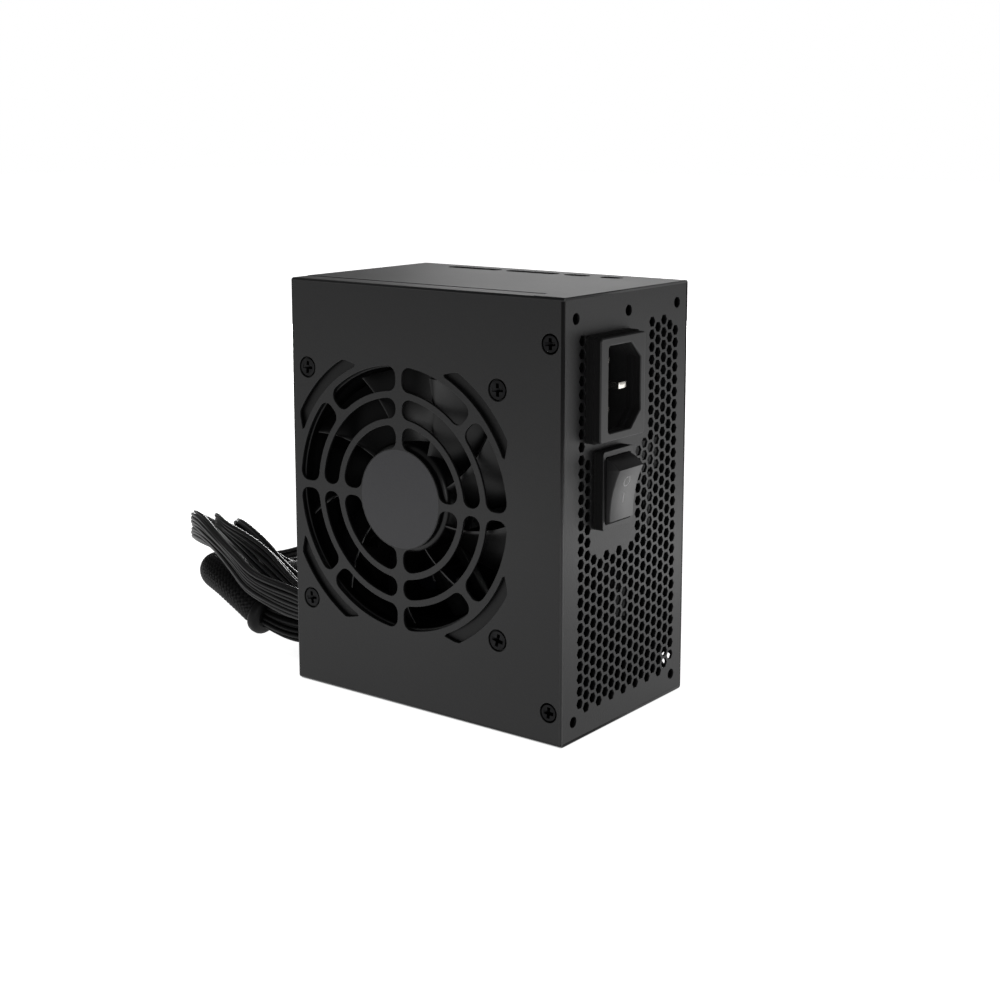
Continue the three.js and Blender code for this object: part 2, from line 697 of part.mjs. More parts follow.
function pinBox(y, z, from, to, grow = 0) {
  return box(from, to, y - pinWidth / 2 - grow, y + pinWidth / 2 + grow, z - pinThick / 2 - grow, z + pinThick / 2 + grow);
}

// A flat pin whose nose is chamfered on its four sides
function inletPin(y, z, tip) {
  const nose = halfWidth + inletProud - tip;
  const tail = halfWidth + inletProud - cavityDeep - inletFloor - pinTail;
  const chamfer = 0.6;
  const side = prism('y', y - pinWidth / 2, y + pinWidth / 2, [
    point(tail, z - pinThick / 2), point(nose - chamfer, z - pinThick / 2), point(nose, z - pinThick / 2 + chamfer),
    point(nose, z + pinThick / 2 - chamfer), point(nose - chamfer, z + pinThick / 2), point(tail, z + pinThick / 2)]);
  const plan = prism('z', z - pinThick, z + pinThick, [
    point(tail - 1, y - pinWidth / 2), point(nose - chamfer, y - pinWidth / 2), point(nose, y - pinWidth / 2 + chamfer),
    point(nose, y + pinWidth / 2 - chamfer), point(nose - chamfer, y + pinWidth / 2), point(tail - 1, y + pinWidth / 2)]);
  return side.intersect(plan);
}

part('inlet_housing', inletHousing(), inletPlastic);
inletPins.forEach(([name, y, z, tip]) => part(name, inletPin(y, z, tip), nickel));

// Rocker switch

const pivotX = halfWidth + pivotProud;

function rockerHousing() {
  const bezel = prism('x', halfWidth, halfWidth + bezelProud, roundedRectangle(
    switchY - bezelWidth / 2, switchY + bezelWidth / 2, switchZ - bezelHeight / 2, switchZ + bezelHeight / 2, 0.8, 2));
  const bodyBack = halfWidth - switchBodyDeep;
  const body = prism('x', bodyBack, halfWidth + 0.5, rectangle(
    switchY - switchBodyWidth / 2, switchY + switchBodyWidth / 2, switchZ - switchBodyHeight / 2, switchZ + switchBodyHeight / 2));
  const windowHalf = rockerWidth / 2 + rockerGap;
  const opening = prism('x', bodyBack + switchFloor, halfWidth + bezelProud + 1, rectangle(
    switchY - windowHalf, switchY + windowHalf, switchZ - windowHeight / 2, switchZ + windowHeight / 2));
  const pivot = rod('y', switchY - switchBodyWidth / 2 - 1, switchY + switchBodyWidth / 2 + 1,
    pivotX, switchZ, trunnionRadius + trunnionGap, 10);
  return bezel.add(body).subtract(union([opening, pivot]));
}

// Seen from the side: a hollow face between two edges, round ends, and a keel below the pivot.
// The rocker rests tipped, its upper end out.
function rocker() {
  const edge = point(rockerRadius * Math.cos(rockerFace * degrees), rockerRadius * Math.sin(rockerFace * degrees));
  const faceSteps = 8;
  const face = Array.from({ length: faceSteps - 1 }, (_, i) => {
    const t = ((i + 1) / faceSteps) * 2 - 1;
    return point(edge.x - rockerSag * (1 - t * t), t * edge.y);
  });
  const outEnd = rockerFace + rockerEnd;
  const outline = [
    ...face,
    ...arc(0, 0, rockerRadius, rockerFace, outEnd, 4),
    ...arc(0, 0, rockerBack, outEnd, outEnd + 30, 3),
    point(-5.5, 3.5), point(-5.5, -3.5),
    ...arc(0, 0, rockerBack, -outEnd - 30, -outEnd, 3),
    ...arc(0, 0, rockerRadius, -outEnd, -rockerFace, 4),
  ].map((p) => p.rotateAround(point(0, 0), (-rockerTravel / 2) * degrees).add(point(pivotX, switchZ)));
  const pins = rod('y', switchY - switchBodyWidth / 2 + 0.2, switchY + switchBodyWidth / 2 - 0.2,
    pivotX, switchZ, trunnionRadius, 10);
  return prism('y', switchY - rockerWidth / 2, switchY + rockerWidth / 2, outline).add(pins);
}

part('rocker_housing', rockerHousing(), inletPlastic);
part('rocker', rocker(), rockerPlastic);

// Cable grommet: a sleeve through the wall with a rim outside

function grommet() {
  const outline = (grow, radius) => roundedRectangle(
    outletY - outletWidth / 2 - grow, outletY + outletWidth / 2 + grow,
    outletZ - outletHeight / 2 - grow, outletZ + outletHeight / 2 + grow, radius, 2);
  const hole = outline(0, outletCorner - grommetWall);
  const rim = prism('x', -halfWidth - grommetRim, -halfWidth, outline(grommetWall + grommetLip, outletCorner + grommetLip), [hole]);
  const sleeve = prism('x', -halfWidth - 0.5, -halfWidth + sheet + 0.4, outline(grommetWall, outletCorner), [hole]);
  return rim.add(sleeve);
}

part('cable_grommet', grommet(), grommetNylon);

// Circuit board on its standoffs

const boardLow = sheet + boardMargin;
const boardHigh = inTop - boardMargin;
const boardLeft = -halfWidth + sheet + boardMargin / 2;
const boardRight = panelIn - boardMargin;

function boardOutline() {
  return [
    point(boardLeft, boardLow), point(boardRight - boardNotch / 2, boardLow),
    point(boardRight - boardNotch / 2, boardLow + boardNotch), point(boardRight, boardLow + boardNotch),
    point(boardRight, boardHigh), point(boardLeft, boardHigh),
  ];
}

part('main_pcb', prism('y', boardFace, boardBack, boardOutline(),
  standoffPlaces.map(([x, z]) => disc(x, z, boardHole / 2, 8))), boardGreen);
part('insulating_sheet', prism('y', inBack - insulator, inBack,
  boardOutline(), standoffPlaces.map(([x, z]) => disc(x, z, standoffRadius + seat, 6))), mylar);

standoffPlaces.forEach(([x, z], i) => {
  const blind = rod('y', boardBack - 1, inBack - 1, x, z, screwShank / 2 + pressGap, 8);
  part(`pcb_standoff_${i + 1}`, rod('y', boardBack, inBack, x, z, standoffRadius, 6).subtract(blind), brass);
  part(`pcb_screw_${i + 1}`, turned([[0, boardFace - 1.6], [2.4, boardFace - 1.6], [2.7, boardFace],
    [screwShank / 2, boardFace], [screwShank / 2, inBack - 1.3], [0, inBack - 1.3]], x, z, 8), zinc);
});

// Parts on the board. Each stands on its face and reaches towards the fan.

const can = (x, z, radius, height, sides) => turned([[0, partsBase - height], [radius - 0.8, partsBase - height],
  [radius, partsBase - height + 0.8], [radius, partsBase], [0, partsBase]], x, z, sides);

// A wound ring lying on the board
function toroid(x, z, ringRadius, windingRadius) {
  const middle = partsBase - windingRadius;
  const section = arc(ringRadius, middle, windingRadius, 0, 360, 6).map((p) => [p.x, p.y]);
  section[section.length - 1] = section[0];
  return turned(section, x, z, 10);
}

// A core of two windows with a winding round its middle leg
function transformer(name, x, { z, width, height, coreThick, leg, yoke, depth }) {
  const middle = partsBase - depth / 2;
  const windowWidth = (width - 2 * leg) / 2;
  const windowHeight = height - 2 * yoke;
  const window = (side) => {
    const inner = x + side * (leg / 2);
    const outer = x + side * (leg / 2 + windowWidth);
    return rectangle(Math.min(inner, outer), Math.max(inner, outer), z - windowHeight / 2, z + windowHeight / 2);
  };
  part(`${name}_core`, prism('y', middle - coreThick / 2, middle + coreThick / 2,
    rectangle(x - width / 2, x + width / 2, z - height / 2, z + height / 2), [window(-1), window(1)]), ferrite);
  const reach = leg / 2 + windowWidth - seat;
  part(`${name}_winding`, prism('z', z - windowHeight / 2 + seat, z + windowHeight / 2 - seat,
    roundedRectangle(x - reach, x + reach, middle - depth / 2, middle + depth / 2, 3, 1),
    [rectangle(x - leg / 2 - seat, x + leg / 2 + seat, middle - coreThick / 2 - seat, middle + coreThick / 2 + seat)]),
  tapeYellow);
}

// An extruded plate with fins on one side
function heatSink({ x, side, from, to, height, fins }) {
  const top = partsBase - height;
  const plate = box(x, x + sinkThick, top, partsBase, from, to);
  const base = side > 0 ? x + sinkThick - finThick / 4 : x + finThick / 4;
  const reach = base + side * finReach;
  return union([plate, ...Array.from({ length: fins }, (_, i) => {
    const y = top + (i * (height - finThick)) / (fins - 1);
    return box(Math.min(base, reach), Math.max(base, reach), y, y + finThick, from, to);
  })]);
}

const sinkFace = primarySink.x + sinkThick;
const chokeZ = filmCapacitor.z + filmCapacitor.high / 2 + boardPartGap + chokeRing + chokeWinding;
const fuseTop = filmCapacitor.z - filmCapacitor.high / 2 - boardPartGap;
const mainTransformerX = primarySink.x - finReach - boardPartGap - mainTransformer.width / 2;

part('primary_heatsink', heatSink({ ...primarySink, side: -1, to: caseHeight - primarySink.fromTop }), aluminium);
part('bridge_rectifier', box(sinkFace + seat, sinkFace + seat + rectifier.thick,
  partsBase - rectifier.reach, partsBase - rectifier.lift, primarySink.from + rectifier.up,
  primarySink.from + rectifier.up + rectifier.wide), epoxy);
part('bulk_capacitor', can(sinkFace + bulkRadius + boardPartGap * 2, caseHeight - bulkFromTop, bulkRadius, bulkHeight, 10), canSleeve);
part('x_capacitor', box(filmCapacitor.x - filmCapacitor.wide / 2, filmCapacitor.x + filmCapacitor.wide / 2,
  partsBase - filmCapacitor.deep, partsBase, filmCapacitor.z - filmCapacitor.high / 2,
  filmCapacitor.z + filmCapacitor.high / 2), filmBox);
part('common_mode_choke', toroid(chokeX, chokeZ, chokeRing, chokeWinding), copper);
part('fuse', rod('z', fuseTop - fuseLength, fuseTop, fuseX, partsBase - fuseRadius, fuseRadius, 12), ceramic);
part('pfc_inductor', toroid(boostInductor.x, boostInductor.z, boostInductor.ring, boostInductor.winding), copper);
transformer('transformer', mainTransformerX, mainTransformer);
transformer('standby_transformer', standbyTransformer.x, standbyTransformer);
part('secondary_heatsink', heatSink({ ...secondarySink, side: 1 }), aluminium);
part('output_inductor', toroid(outputInductor.x, outputInductor.z, outputInductor.ring, outputInductor.winding), copper);
for (let i = 0; i < 4; i += 1) {
  part(`output_capacitor_${i + 1}`,
    can(outputCanX + i * outputCanPitch, outputCanZ, outputCanRadius, outputCanHeight, 8), canSleeve);
}

// Cables. Each leaves the grommet, bends away behind the case and lies on the ground
// in one half loop, side by side with the others, down to its connector.

const start = -halfWidth + cordStart;
const cables = [
  {
    name: 'atx_cable', diameter: sleeveDiameter, steps: 16, lane: 33, straight: 3, end: 62,
    points: [[start, -18, 10.5], [-54.5, -18.1, 10.4], [-62.4, -18.6, 10.2], [-70, -18.7, 10.8], [-78, -19, 12.8],
      [-86, -18.8, 16.6], [-96, -17, 19.9], [-105.5, -13, 20.6], [-112.5, -5.5, 19], [-116.2, 4, 15.6],
      [-117.4, 15, 11.2], [-117.2, 27, 7.6], [-117, 40, 5.8], [-117, 56, 5.6]],
  },
  {
    name: 'cpu_cable', diameter: bundleDiameter, steps: 21, lane: 61, straight: 32.5, end: 75,
    points: [[start, -22.5, 18.8], [-54, -22.6, 18.9], [-67, -24.8, 21.8], [-77, -25, 24.6], [-86.5, -23, 29],
      [-98, -19.5, 32.7], [-110, -14.8, 34.8], [-120, -9, 34], [-129, -0.5, 30.8], [-137, 9, 26.5],
      [-142, 20, 21], [-144.8, 32, 14], [-145.3, 44, 7.2], [-145, 57, 3.8]],
  },
  {
    name: 'drive_cable', diameter: thinDiameter, steps: 22, lane: 52, straight: 28.5, end: 75,
    points: [[start, -15.8, 19.3], [-55, -15.8, 19.5], [-64.8, -15.6, 21.2], [-74, -14.2, 24.3], [-83, -13, 28.3],
      [-93, -11.6, 32], [-104, -9, 34.6], [-114, -3.5, 34.8], [-123, 4, 31.6], [-130, 13, 26],
      [-134.5, 23, 19.5], [-136.2, 34, 12], [-136.3, 45, 5.6], [-136, 57, 3.1]],
  },
  {
    name: 'pcie_cable', diameter: bundleDiameter, steps: 17, lane: 43, straight: 27.5, end: 75,
    points: [[start, -9.9, 15.4], [-56, -9.8, 15.5], [-65, -8.8, 17], [-73, -7.2, 19.6], [-84.8, -4.4, 23.4],
      [-93, -2.6, 27.2], [-102, -0.5, 30.2], [-111, 3, 31], [-118.5, 9, 28.5], [-123.5, 17, 23.5],
      [-126.2, 26, 17], [-127.2, 36, 10], [-127.2, 46, 5], [-127, 58, 3.7]],
  },
];

const groundClear = 0.1;
const laneTurn = 15; // degrees between two points of a bend

// The chosen points, then half a loop round two centres and a straight end
function cablePath({ diameter, lane, straight, end, points }) {
  const z = diameter / 2 + groundClear;
  const bends = [[loopX, 180], [loopX + straight, 90]].flatMap(([x, from]) =>
    arc(x, loopY, lane, from - laneTurn / 2, from - 90 + laneTurn / 2, 90 / laneTurn - 1)
      .map((p) => new THREE.Vector3(p.x, p.y, z)));
  const tail = [loopY - 3, end].filter((y, i) => i === 1 || end < loopY - 6)
    .map((y) => new THREE.Vector3(loopX + straight + lane, y, z));
  return new THREE.CatmullRomCurve3(
    [...points.map((p) => new THREE.Vector3(...p)), ...bends, ...tail], false, 'catmullrom', 0.5);
}

function cableSolid(path, diameter, steps) {
  const section = new THREE.Shape(disc(0, 0, diameter / 2, 8));
  return solid(new THREE.ExtrudeGeometry(section, { steps, curveSegments: 1, extrudePath: path, bevelEnabled: false }));
}

for (const cable of cables) {
  cable.path = cablePath(cable);
  part(cable.name, cableSolid(cable.path, cable.diameter, cable.steps), cable.name === 'atx_cable' ? sleeveNylon : wireBlack);
  console.log(`${cable.name}: ${cable.path.getLength().toFixed(0)} mm long`);
}

// The least gap between two cables, measured on points 2 mm apart
for (let i = 0; i < cables.length; i += 1) {
  for (let j = i + 1; j < cables.length; j += 1) {
    const [a, b] = [cables[i], cables[j]];
    const [p, q] = [a, b].map(({ path }) => path.getSpacedPoints(Math.round(path.getLength() / 2)));
    const least = Math.min(...p.map((u) => Math.min(...q.map((v) => u.distanceTo(v)))));
    console.log(`${a.name} to ${b.name}: ${(least - (a.diameter + b.diameter) / 2).toFixed(2)} mm apart`);
  }
}

// Connectors: a nylon block with rows of terminal wells and, where it locks, a latch.
// flat lays it on its wide side, otherwise it lies on its narrow side.
function connector({ columns, rows, pitch, latch, flat, at: [x, yEnd] }) {
  const wide = columns * pitch + connectorSkirt;
  const thick = rows * pitch + connectorSkirt;
  const well = 0.76 * pitch;
  const block = prism('y', 0, connectorLength, rectangle(-wide / 2, wide / 2, 0, thick));
  const wells = Array.from({ length: rows * columns }, (_, i) => {
    const cx = ((i % columns) - (columns - 1) / 2) * pitch;
    const cz = thick / 2 + (Math.floor(i / columns) - (rows - 1) / 2) * pitch;
    return box(cx - well / 2, cx + well / 2, -1, wellDepth, cz - well / 2, cz + well / 2);
  });
  const arm = prism('x', -2.6, 2.6, [point(1, thick + 0.8), point(1, thick + 1.6), point(3, thick + 2.4),
    point(3.6, thick + 1.6), point(15, thick + 1.4), point(15, thick - 0.2), point(12, thick - 0.2), point(12, thick + 0.8)]);
  const made = (latch ? block.add(arm) : block).subtract(union(wells));
  const turnedOver = flat ? made : made.rotate([0, -90, 0]).translate([thick / 2, 0, wide / 2]);
  return turnedOver.translate([x, yEnd - seat - connectorLength, connectorLift]);
}

const endOf = (name) => {
  const { straight, lane, end } = cables.find((cable) => cable.name === name);
  return [loopX + straight + lane, end];
};

const connectors = [
  { name: 'atx', columns: 12, rows: 2, pitch: terminalPitch, latch: true, flat: true },
  { name: 'cpu', columns: 4, rows: 2, pitch: terminalPitch, latch: true, flat: false },
  { name: 'pcie', columns: 4, rows: 2, pitch: terminalPitch, latch: true, flat: false },
  { name: 'drive', columns: 4, rows: 1, pitch: driveTerminalPitch, latch: false, flat: false },
];
for (const item of connectors) {
  part(`${item.name}_connector`, connector({ ...item, at: endOf(`${item.name}_cable`) }), connectorNylon);
}

export default root;
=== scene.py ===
import math

import bmesh
import bpy
import numpy as np
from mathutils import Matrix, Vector
from mathutils.geometry import tessellate_polygon


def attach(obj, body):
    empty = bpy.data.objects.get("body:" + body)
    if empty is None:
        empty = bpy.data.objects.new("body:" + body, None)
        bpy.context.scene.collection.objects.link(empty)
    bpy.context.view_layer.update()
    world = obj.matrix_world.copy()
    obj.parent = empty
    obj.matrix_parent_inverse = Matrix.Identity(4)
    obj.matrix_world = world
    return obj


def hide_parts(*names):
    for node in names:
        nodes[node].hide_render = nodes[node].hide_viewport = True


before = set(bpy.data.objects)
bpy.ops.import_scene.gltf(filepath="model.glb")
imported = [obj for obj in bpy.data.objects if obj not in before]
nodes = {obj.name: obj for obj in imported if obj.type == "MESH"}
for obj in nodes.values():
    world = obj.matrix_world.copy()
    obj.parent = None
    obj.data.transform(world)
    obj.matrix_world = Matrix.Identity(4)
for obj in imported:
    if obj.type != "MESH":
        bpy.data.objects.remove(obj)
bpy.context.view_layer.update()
mm = 0.001


def sayStage(text):
    print("stage:", text)


# Camera: a long lens a little above the middle of the unit, turned to the fan side and the mains side.
# The picture is 1000 pixels square and its optical axis lies 100 pixels above the middle.
cameraFacts = {"focalPixels": 1670.0, "azimuth": 37.146, "elevation": 9.597, "distance": 498.66,
               "target": (4.818, 0.0, 88.84), "shift": -0.1, "sensor": 36, "pixels": 1000, "clip": (0.01, 20)}


def makeCamera(facts):
    azimuth, elevation = math.radians(facts["azimuth"]), math.radians(facts["elevation"])
    back = Vector((math.sin(azimuth) * math.cos(elevation), -math.cos(azimuth) * math.cos(elevation),
                   math.sin(elevation)))
    data = bpy.data.cameras.new("camera")
    data.sensor_width = facts["sensor"]
    data.lens = facts["focalPixels"] * facts["sensor"] / facts["pixels"]
    data.shift_y = facts["shift"]
    data.clip_start, data.clip_end = facts["clip"]
    camera = bpy.data.objects.new("camera", data)
    bpy.context.scene.collection.objects.link(camera)
    camera.location = (Vector(facts["target"]) + back * facts["distance"]) * mm
    camera.rotation_euler = back.to_track_quat("Z", "Y").to_euler()
    bpy.context.scene.camera = camera


makeCamera(cameraFacts)
sayStage("camera")


# Colours and materials

def toLinear(code):
    channels = [int(code[i:i + 2], 16) / 255 for i in (1, 3, 5)]
    return [c / 12.92 if c <= 0.04045 else ((c + 0.055) / 1.055) ** 2.4 for c in channels] + [1.0]


# One node. An input is named as on the node, or by its number after a low line.
def addNode(tree, kind, place=(0, 0), operation=None, **inputs):
    node = tree.nodes.new(kind)
    node.location = place
    if operation:
        node.operation = operation
    for name, value in inputs.items():
        socket = node.inputs[int(name[1:])] if name[0] == "_" else node.inputs[name.replace("_", " ")]
        if isinstance(value, bpy.types.NodeSocket):
            tree.links.new(value, socket)
        else:
            socket.default_value = value
    return node


def newMaterial(name):
    material = bpy.data.materials.new(name)
    material.use_nodes = True
    tree = material.node_tree
    shader = tree.nodes["Principled BSDF"]
    where = addNode(tree, "ShaderNodeTexCoord", (-1400, 0)).outputs["Object"]
    return material, tree, shader, where


def ramp(tree, value, stops, place=(-500, 0)):
    node = addNode(tree, "ShaderNodeValToRGB", place, Fac=value)
    elements = node.color_ramp.elements
    while len(elements) < len(stops):
        elements.new(0.5)
    for element, (position, color) in zip(elements, stops):
        element.position = position
        element.color = toLinear(color)
    return node.outputs["Color"]


def scaleRange(tree, value, low, high, place=(-500, -300)):
    return addNode(tree, "ShaderNodeMapRange", place, Value=value, To_Min=low, To_Max=high).outputs["Result"]


def bump(tree, height, strength, distance, place=(-250, -500)):
    return addNode(tree, "ShaderNodeBump", place, Height=height, Strength=strength, Distance=distance).outputs["Normal"]


# One surface for everything moulded, painted or plated: two colours that drift into each other, a roughness that
# varies with them, and a fine grain. Scales are waves per metre, so the drift has patches of about 2 cm.
# The real grain is finer than 0.1 mm and is drawn about 1 mm wide, as coarse as it needs to show.
def surfaceNodes(name, dark, light, roughness, metallic=0.0, grain=900.0, depth=0.00002, patch=60.0, specular=0.5):
    material, tree, shader, where = newMaterial(name)
    drift = addNode(tree, "ShaderNodeTexNoise", (-1100, 200), Vector=where, Scale=patch, Detail=4.0).outputs["Fac"]
    tree.links.new(ramp(tree, drift, [(0.35, dark), (0.65, light)], (-700, 200)), shader.inputs["Base Color"])
    tree.links.new(scaleRange(tree, drift, *roughness), shader.inputs["Roughness"])
    fine = addNode(tree, "ShaderNodeTexNoise", (-1100, -400), Vector=where, Scale=grain, Detail=2.0)
    tree.links.new(bump(tree, fine.outputs["Fac"], 0.3, depth), shader.inputs["Normal"])
    shader.inputs["Metallic"].default_value = metallic
    shader.inputs["Specular IOR Level"].default_value = specular
    return material, tree, shader, where


def surface(*facts, **more):
    return surfaceNodes(*facts, **more)[0]


# Matt black powder coat with the fine pebbled skin of a textured paint. Round the fan's hub the paint is
# a little lighter: the distance from the hub's axis, and how far forward the place is, pick between the two.
# The pebbles are half a millimetre wide, and break highlights into a soft dark grey sheen.
coatTone = {"dark": "#171718", "light": "#1c1c1d", "drift": 25.0, "pebbles": 1900.0, "grain": 1300.0}
hubTone = {"x": -0.00785, "z": 0.0625, "radius": 0.0146, "front": -0.0315, "dark": "#4a4a4d", "light": "#505053"}


def makePowderCoat():
    material, tree, shader, where = newMaterial("textured black powder coat")
    pebbles = addNode(tree, "ShaderNodeTexVoronoi", (-1100, -300), Vector=where, Scale=coatTone["pebbles"])
    fine = addNode(tree, "ShaderNodeTexNoise", (-1100, -600), Vector=where, Scale=coatTone["grain"], Detail=3.0)
    both = addNode(tree, "ShaderNodeMath", (-700, -450), _0=pebbles.outputs["Distance"], _1=fine.outputs["Fac"])
    tree.links.new(bump(tree, both.outputs[0], 0.32, 0.00004), shader.inputs["Normal"])
    drift = addNode(tree, "ShaderNodeTexNoise", (-1100, 300), Vector=where, Scale=coatTone["drift"], Detail=5.0)
    drift = drift.outputs["Fac"]
    tone, hub = (ramp(tree, drift, [(0.3, facts["dark"]), (0.7, facts["light"])], (-700, level))
                 for facts, level in ((coatTone, 300), (hubTone, 600)))
    away = addNode(tree, "ShaderNodeVectorMath", (-1100, 800), "SUBTRACT", _0=where, _1=(hubTone["x"], 0, hubTone["z"]))
    split = addNode(tree, "ShaderNodeSeparateXYZ", (-900, 800), Vector=away.outputs[0]).outputs
    flat = addNode(tree, "ShaderNodeCombineXYZ", (-750, 800), X=split["X"], Z=split["Z"])
    distance = addNode(tree, "ShaderNodeVectorMath", (-600, 800), "LENGTH", _0=flat.outputs[0]).outputs["Value"]
    inside = addNode(tree, "ShaderNodeMath", (-450, 800), "LESS_THAN", _0=distance, _1=hubTone["radius"])
    facing = addNode(tree, "ShaderNodeMath", (-450, 650), "LESS_THAN", _0=split["Y"], _1=hubTone["front"])
    here = addNode(tree, "ShaderNodeMath", (-300, 700), "MULTIPLY", _0=inside.outputs[0], _1=facing.outputs[0])
    paint = addNode(tree, "ShaderNodeMixRGB", (-200, 300), Fac=here.outputs[0], Color1=tone, Color2=hub)
    tree.links.new(paint.outputs["Color"], shader.inputs["Base Color"])
    tree.links.new(scaleRange(tree, drift, 0.44, 0.52), shader.inputs["Roughness"])
    shader.inputs["Specular IOR Level"].default_value = 0.5
    return material


# Moulded polyamide of the inlet and of the switch: only the front face is satin. Everything behind a given depth, which
# is the sides and the hollow, is painted near black as painted shade, and is made fully matt.
def makeCollarPlastic(name, front):
    material, tree, shader, where = surfaceNodes(name, "#141415", "#19191a", (0.42, 0.5), grain=1500.0)
    color, roughness = shader.inputs["Base Color"], shader.inputs["Roughness"]
    tone, satin = color.links[0].from_socket, roughness.links[0].from_socket
    deep = addNode(tree, "ShaderNodeSeparateXYZ", (-650, 650), Vector=where).outputs["X"]
    paintedShade = addNode(tree, "ShaderNodeMath", (-450, 650), "LESS_THAN", _0=deep, _1=front).outputs[0]
    # Painted shade: the sides and the hollow behind the front face are painted near black
    paint = addNode(tree, "ShaderNodeMixRGB", (-200, 300), Fac=paintedShade, Color1=tone, Color2=toLinear("#050506"))
    tree.links.new(paint.outputs["Color"], color)
    rough = addNode(tree, "ShaderNodeMath", (-200, 0), "MAXIMUM", _0=satin, _1=paintedShade)
    tree.links.new(rough.outputs[0], roughness)
    return material


inletPlastic = makeCollarPlastic("black inlet plastic", 0.0543)
switchPlastic = makeCollarPlastic("black switch housing plastic", 0.0529)
powderCoat = makePowderCoat()
# Moulded plastics: the blades catch soft highlights, the frame behind them stays matt, the rocker is satin
fanPlastic = surface("black fan plastic", "#0a0a0b", "#0f0f10", (0.3, 0.38), grain=500, depth=0.00001, specular=0.4)
framePlastic = surface("matt black fan frame plastic", "#0a0a0b", "#0f0f10", (0.44, 0.54), grain=700, specular=0.3)
rockerPlastic = surface("satin rocker plastic", "#202021", "#272728", (0.33, 0.4), grain=1800, depth=0.00001)
# Printed ink: pale and flat
markPrint = surface("pale grey switch print", "#d6d6d6", "#e4e4e4", (0.5, 0.6))
# Metals: plated screws are black with a grey glint, nickel pins mirror warmly, punched steel and tin are a dull
# silver, turned brass is warm, and zinc plating is dark and dull
screwBlack = surface("black plated screw steel", "#1a1a1b", "#242425", (0.28, 0.4), 0.9, patch=400)
nickel = surface("nickel plated brass", "#c9c6bf", "#dedbd4", (0.18, 0.28), 1.0, patch=300)
brightSteel = surface("bright lamination steel", "#6e7073", "#8d8f93", (0.3, 0.45), 1.0, patch=500)
brass = surface("turned brass", "#8c6f38", "#b08d4a", (0.28, 0.4), 1.0, patch=300)
tinPlate = surface("tin plated terminal brass", "#8f9092", "#b0b0b1", (0.25, 0.4), 1.0, patch=700)
zinc = surface("black zinc plated steel", "#2b2c2e", "#3a3b3d", (0.35, 0.5), 1.0, patch=400)
# Pressed magnet powder: rough, and swallows light
magnetBlack = surface("bonded magnet", "#242325", "#302f31", (0.6, 0.7))
# Moulded nylon has a dull sheen, extruded insulation a soft line of light along each wire, woven fibre hardly any
grommetNylon = surface("black grommet nylon", "#0c0c0d", "#121213", (0.45, 0.55))
connectorNylon = surface("black connector nylon", "#1b1b1c", "#262627", (0.4, 0.5), grain=700)
wireBlack = surface("black wire insulation", "#1b1b1c", "#262627", (0.36, 0.46), grain=300, depth=0.00003)
braidFibre = surface("black braided polyester sleeve", "#060607", "#0c0c0e", (0.45, 0.55), grain=2500, specular=0.22)
# Inner pieces are dark, partly as painted shade: their colours are darkened because the vents of the real unit look
# black. Lacquer, film, sleeves and boxes keep a faint gloss, while epoxy, anodised fins, sintered ferrite and taped
# windings are matt.
boardLacquer = surface("black circuit board lacquer", "#0d0f0e", "#141615", (0.35, 0.45), patch=200)
filmBlack = surface("black insulating film", "#0c0c0d", "#121214", (0.3, 0.4))
canSleeve = surface("dark capacitor sleeve", "#12141a", "#191c24", (0.28, 0.36))
shrinkSleeve = surface("black shrink sleeve over a winding", "#0b0b0c", "#111113", (0.4, 0.5), patch=300)
filmBox = surface("dark film capacitor box", "#0f0f10", "#141416", (0.4, 0.5))
epoxy = surface("black moulded epoxy", "#141416", "#1d1d1f", (0.45, 0.55))
aluminium = surface("black anodised aluminium", "#0d0e0f", "#131415", (0.42, 0.52), 0.4, patch=120)
ferrite = surface("sintered ferrite", "#18181a", "#222224", (0.55, 0.7))
coilTape = surface("black polyester tape", "#0b0b0c", "#111112", (0.3, 0.4))
sayStage("materials")

# The model's own pieces take the first finish whose list holds the start of their name
pieceFinishes = [
    (powderCoat, "fan_cover base_case mains_panel"), (framePlastic, "fan_frame"), (fanPlastic, "fan_rotor"),
    (brightSteel, "fan_shaft fan_stator"), (magnetBlack, "fan_magnet"), (brass, "fan_bearing pcb_standoff"),
    (screwBlack, "cover_screw fan_screw"), (zinc, "pcb_screw"), (inletPlastic, "inlet_housing"),
    (switchPlastic, "rocker_housing"), (rockerPlastic, "rocker"), (nickel, "line_pin neutral_pin earth_pin"),
    (grommetNylon, "cable_grommet"), (boardLacquer, "main_pcb"), (filmBlack, "insulating_sheet"),
    (canSleeve, "bulk_capacitor output_capacitor"), (filmBox, "x_capacitor"), (epoxy, "bridge_rectifier"),
    (shrinkSleeve, "common_mode_choke pfc_inductor output_inductor fuse"),
    (aluminium, "primary_heatsink secondary_heatsink"), (ferrite, "transformer_core standby_transformer_core"),
    (coilTape, "transformer_winding standby_transformer_winding"),
]
for name, node in nodes.items():
    node.data.materials.clear()
    node.data.materials.append(next((finish for finish, starts in pieceFinishes
                                     if name.startswith(tuple(starts.split()))), connectorNylon))


# Mesh helpers. Shapes are drawn in millimetres and kept in metres.

# A part is its points, its faces and whether each face is smooth
def joinMeshes(parts):
    points, faces, smooth, base = [], [], [], 0
    for partPoints, partFaces, partSmooth in parts:
        points.append(np.asarray(partPoints, float))
        faces += [tuple(base + i for i in face) for face in partFaces]
        smooth += list(partSmooth)
        base += len(partPoints)
    return np.vstack(points), faces, smooth


# Edges sharper than the limit stay crisp, and the rest of the surface is smooth
def smoothByAngle(item, limit):
    shape = bmesh.new()
    shape.from_mesh(item.data)
    for edge in shape.edges:
        angle = edge.calc_face_angle(0.0) if len(edge.link_faces) == 2 else 0.0
        edge.smooth = angle < math.radians(limit)
    for face in shape.faces:
        face.smooth = True
    shape.to_mesh(item.data)
    shape.free()
    item.data.update()


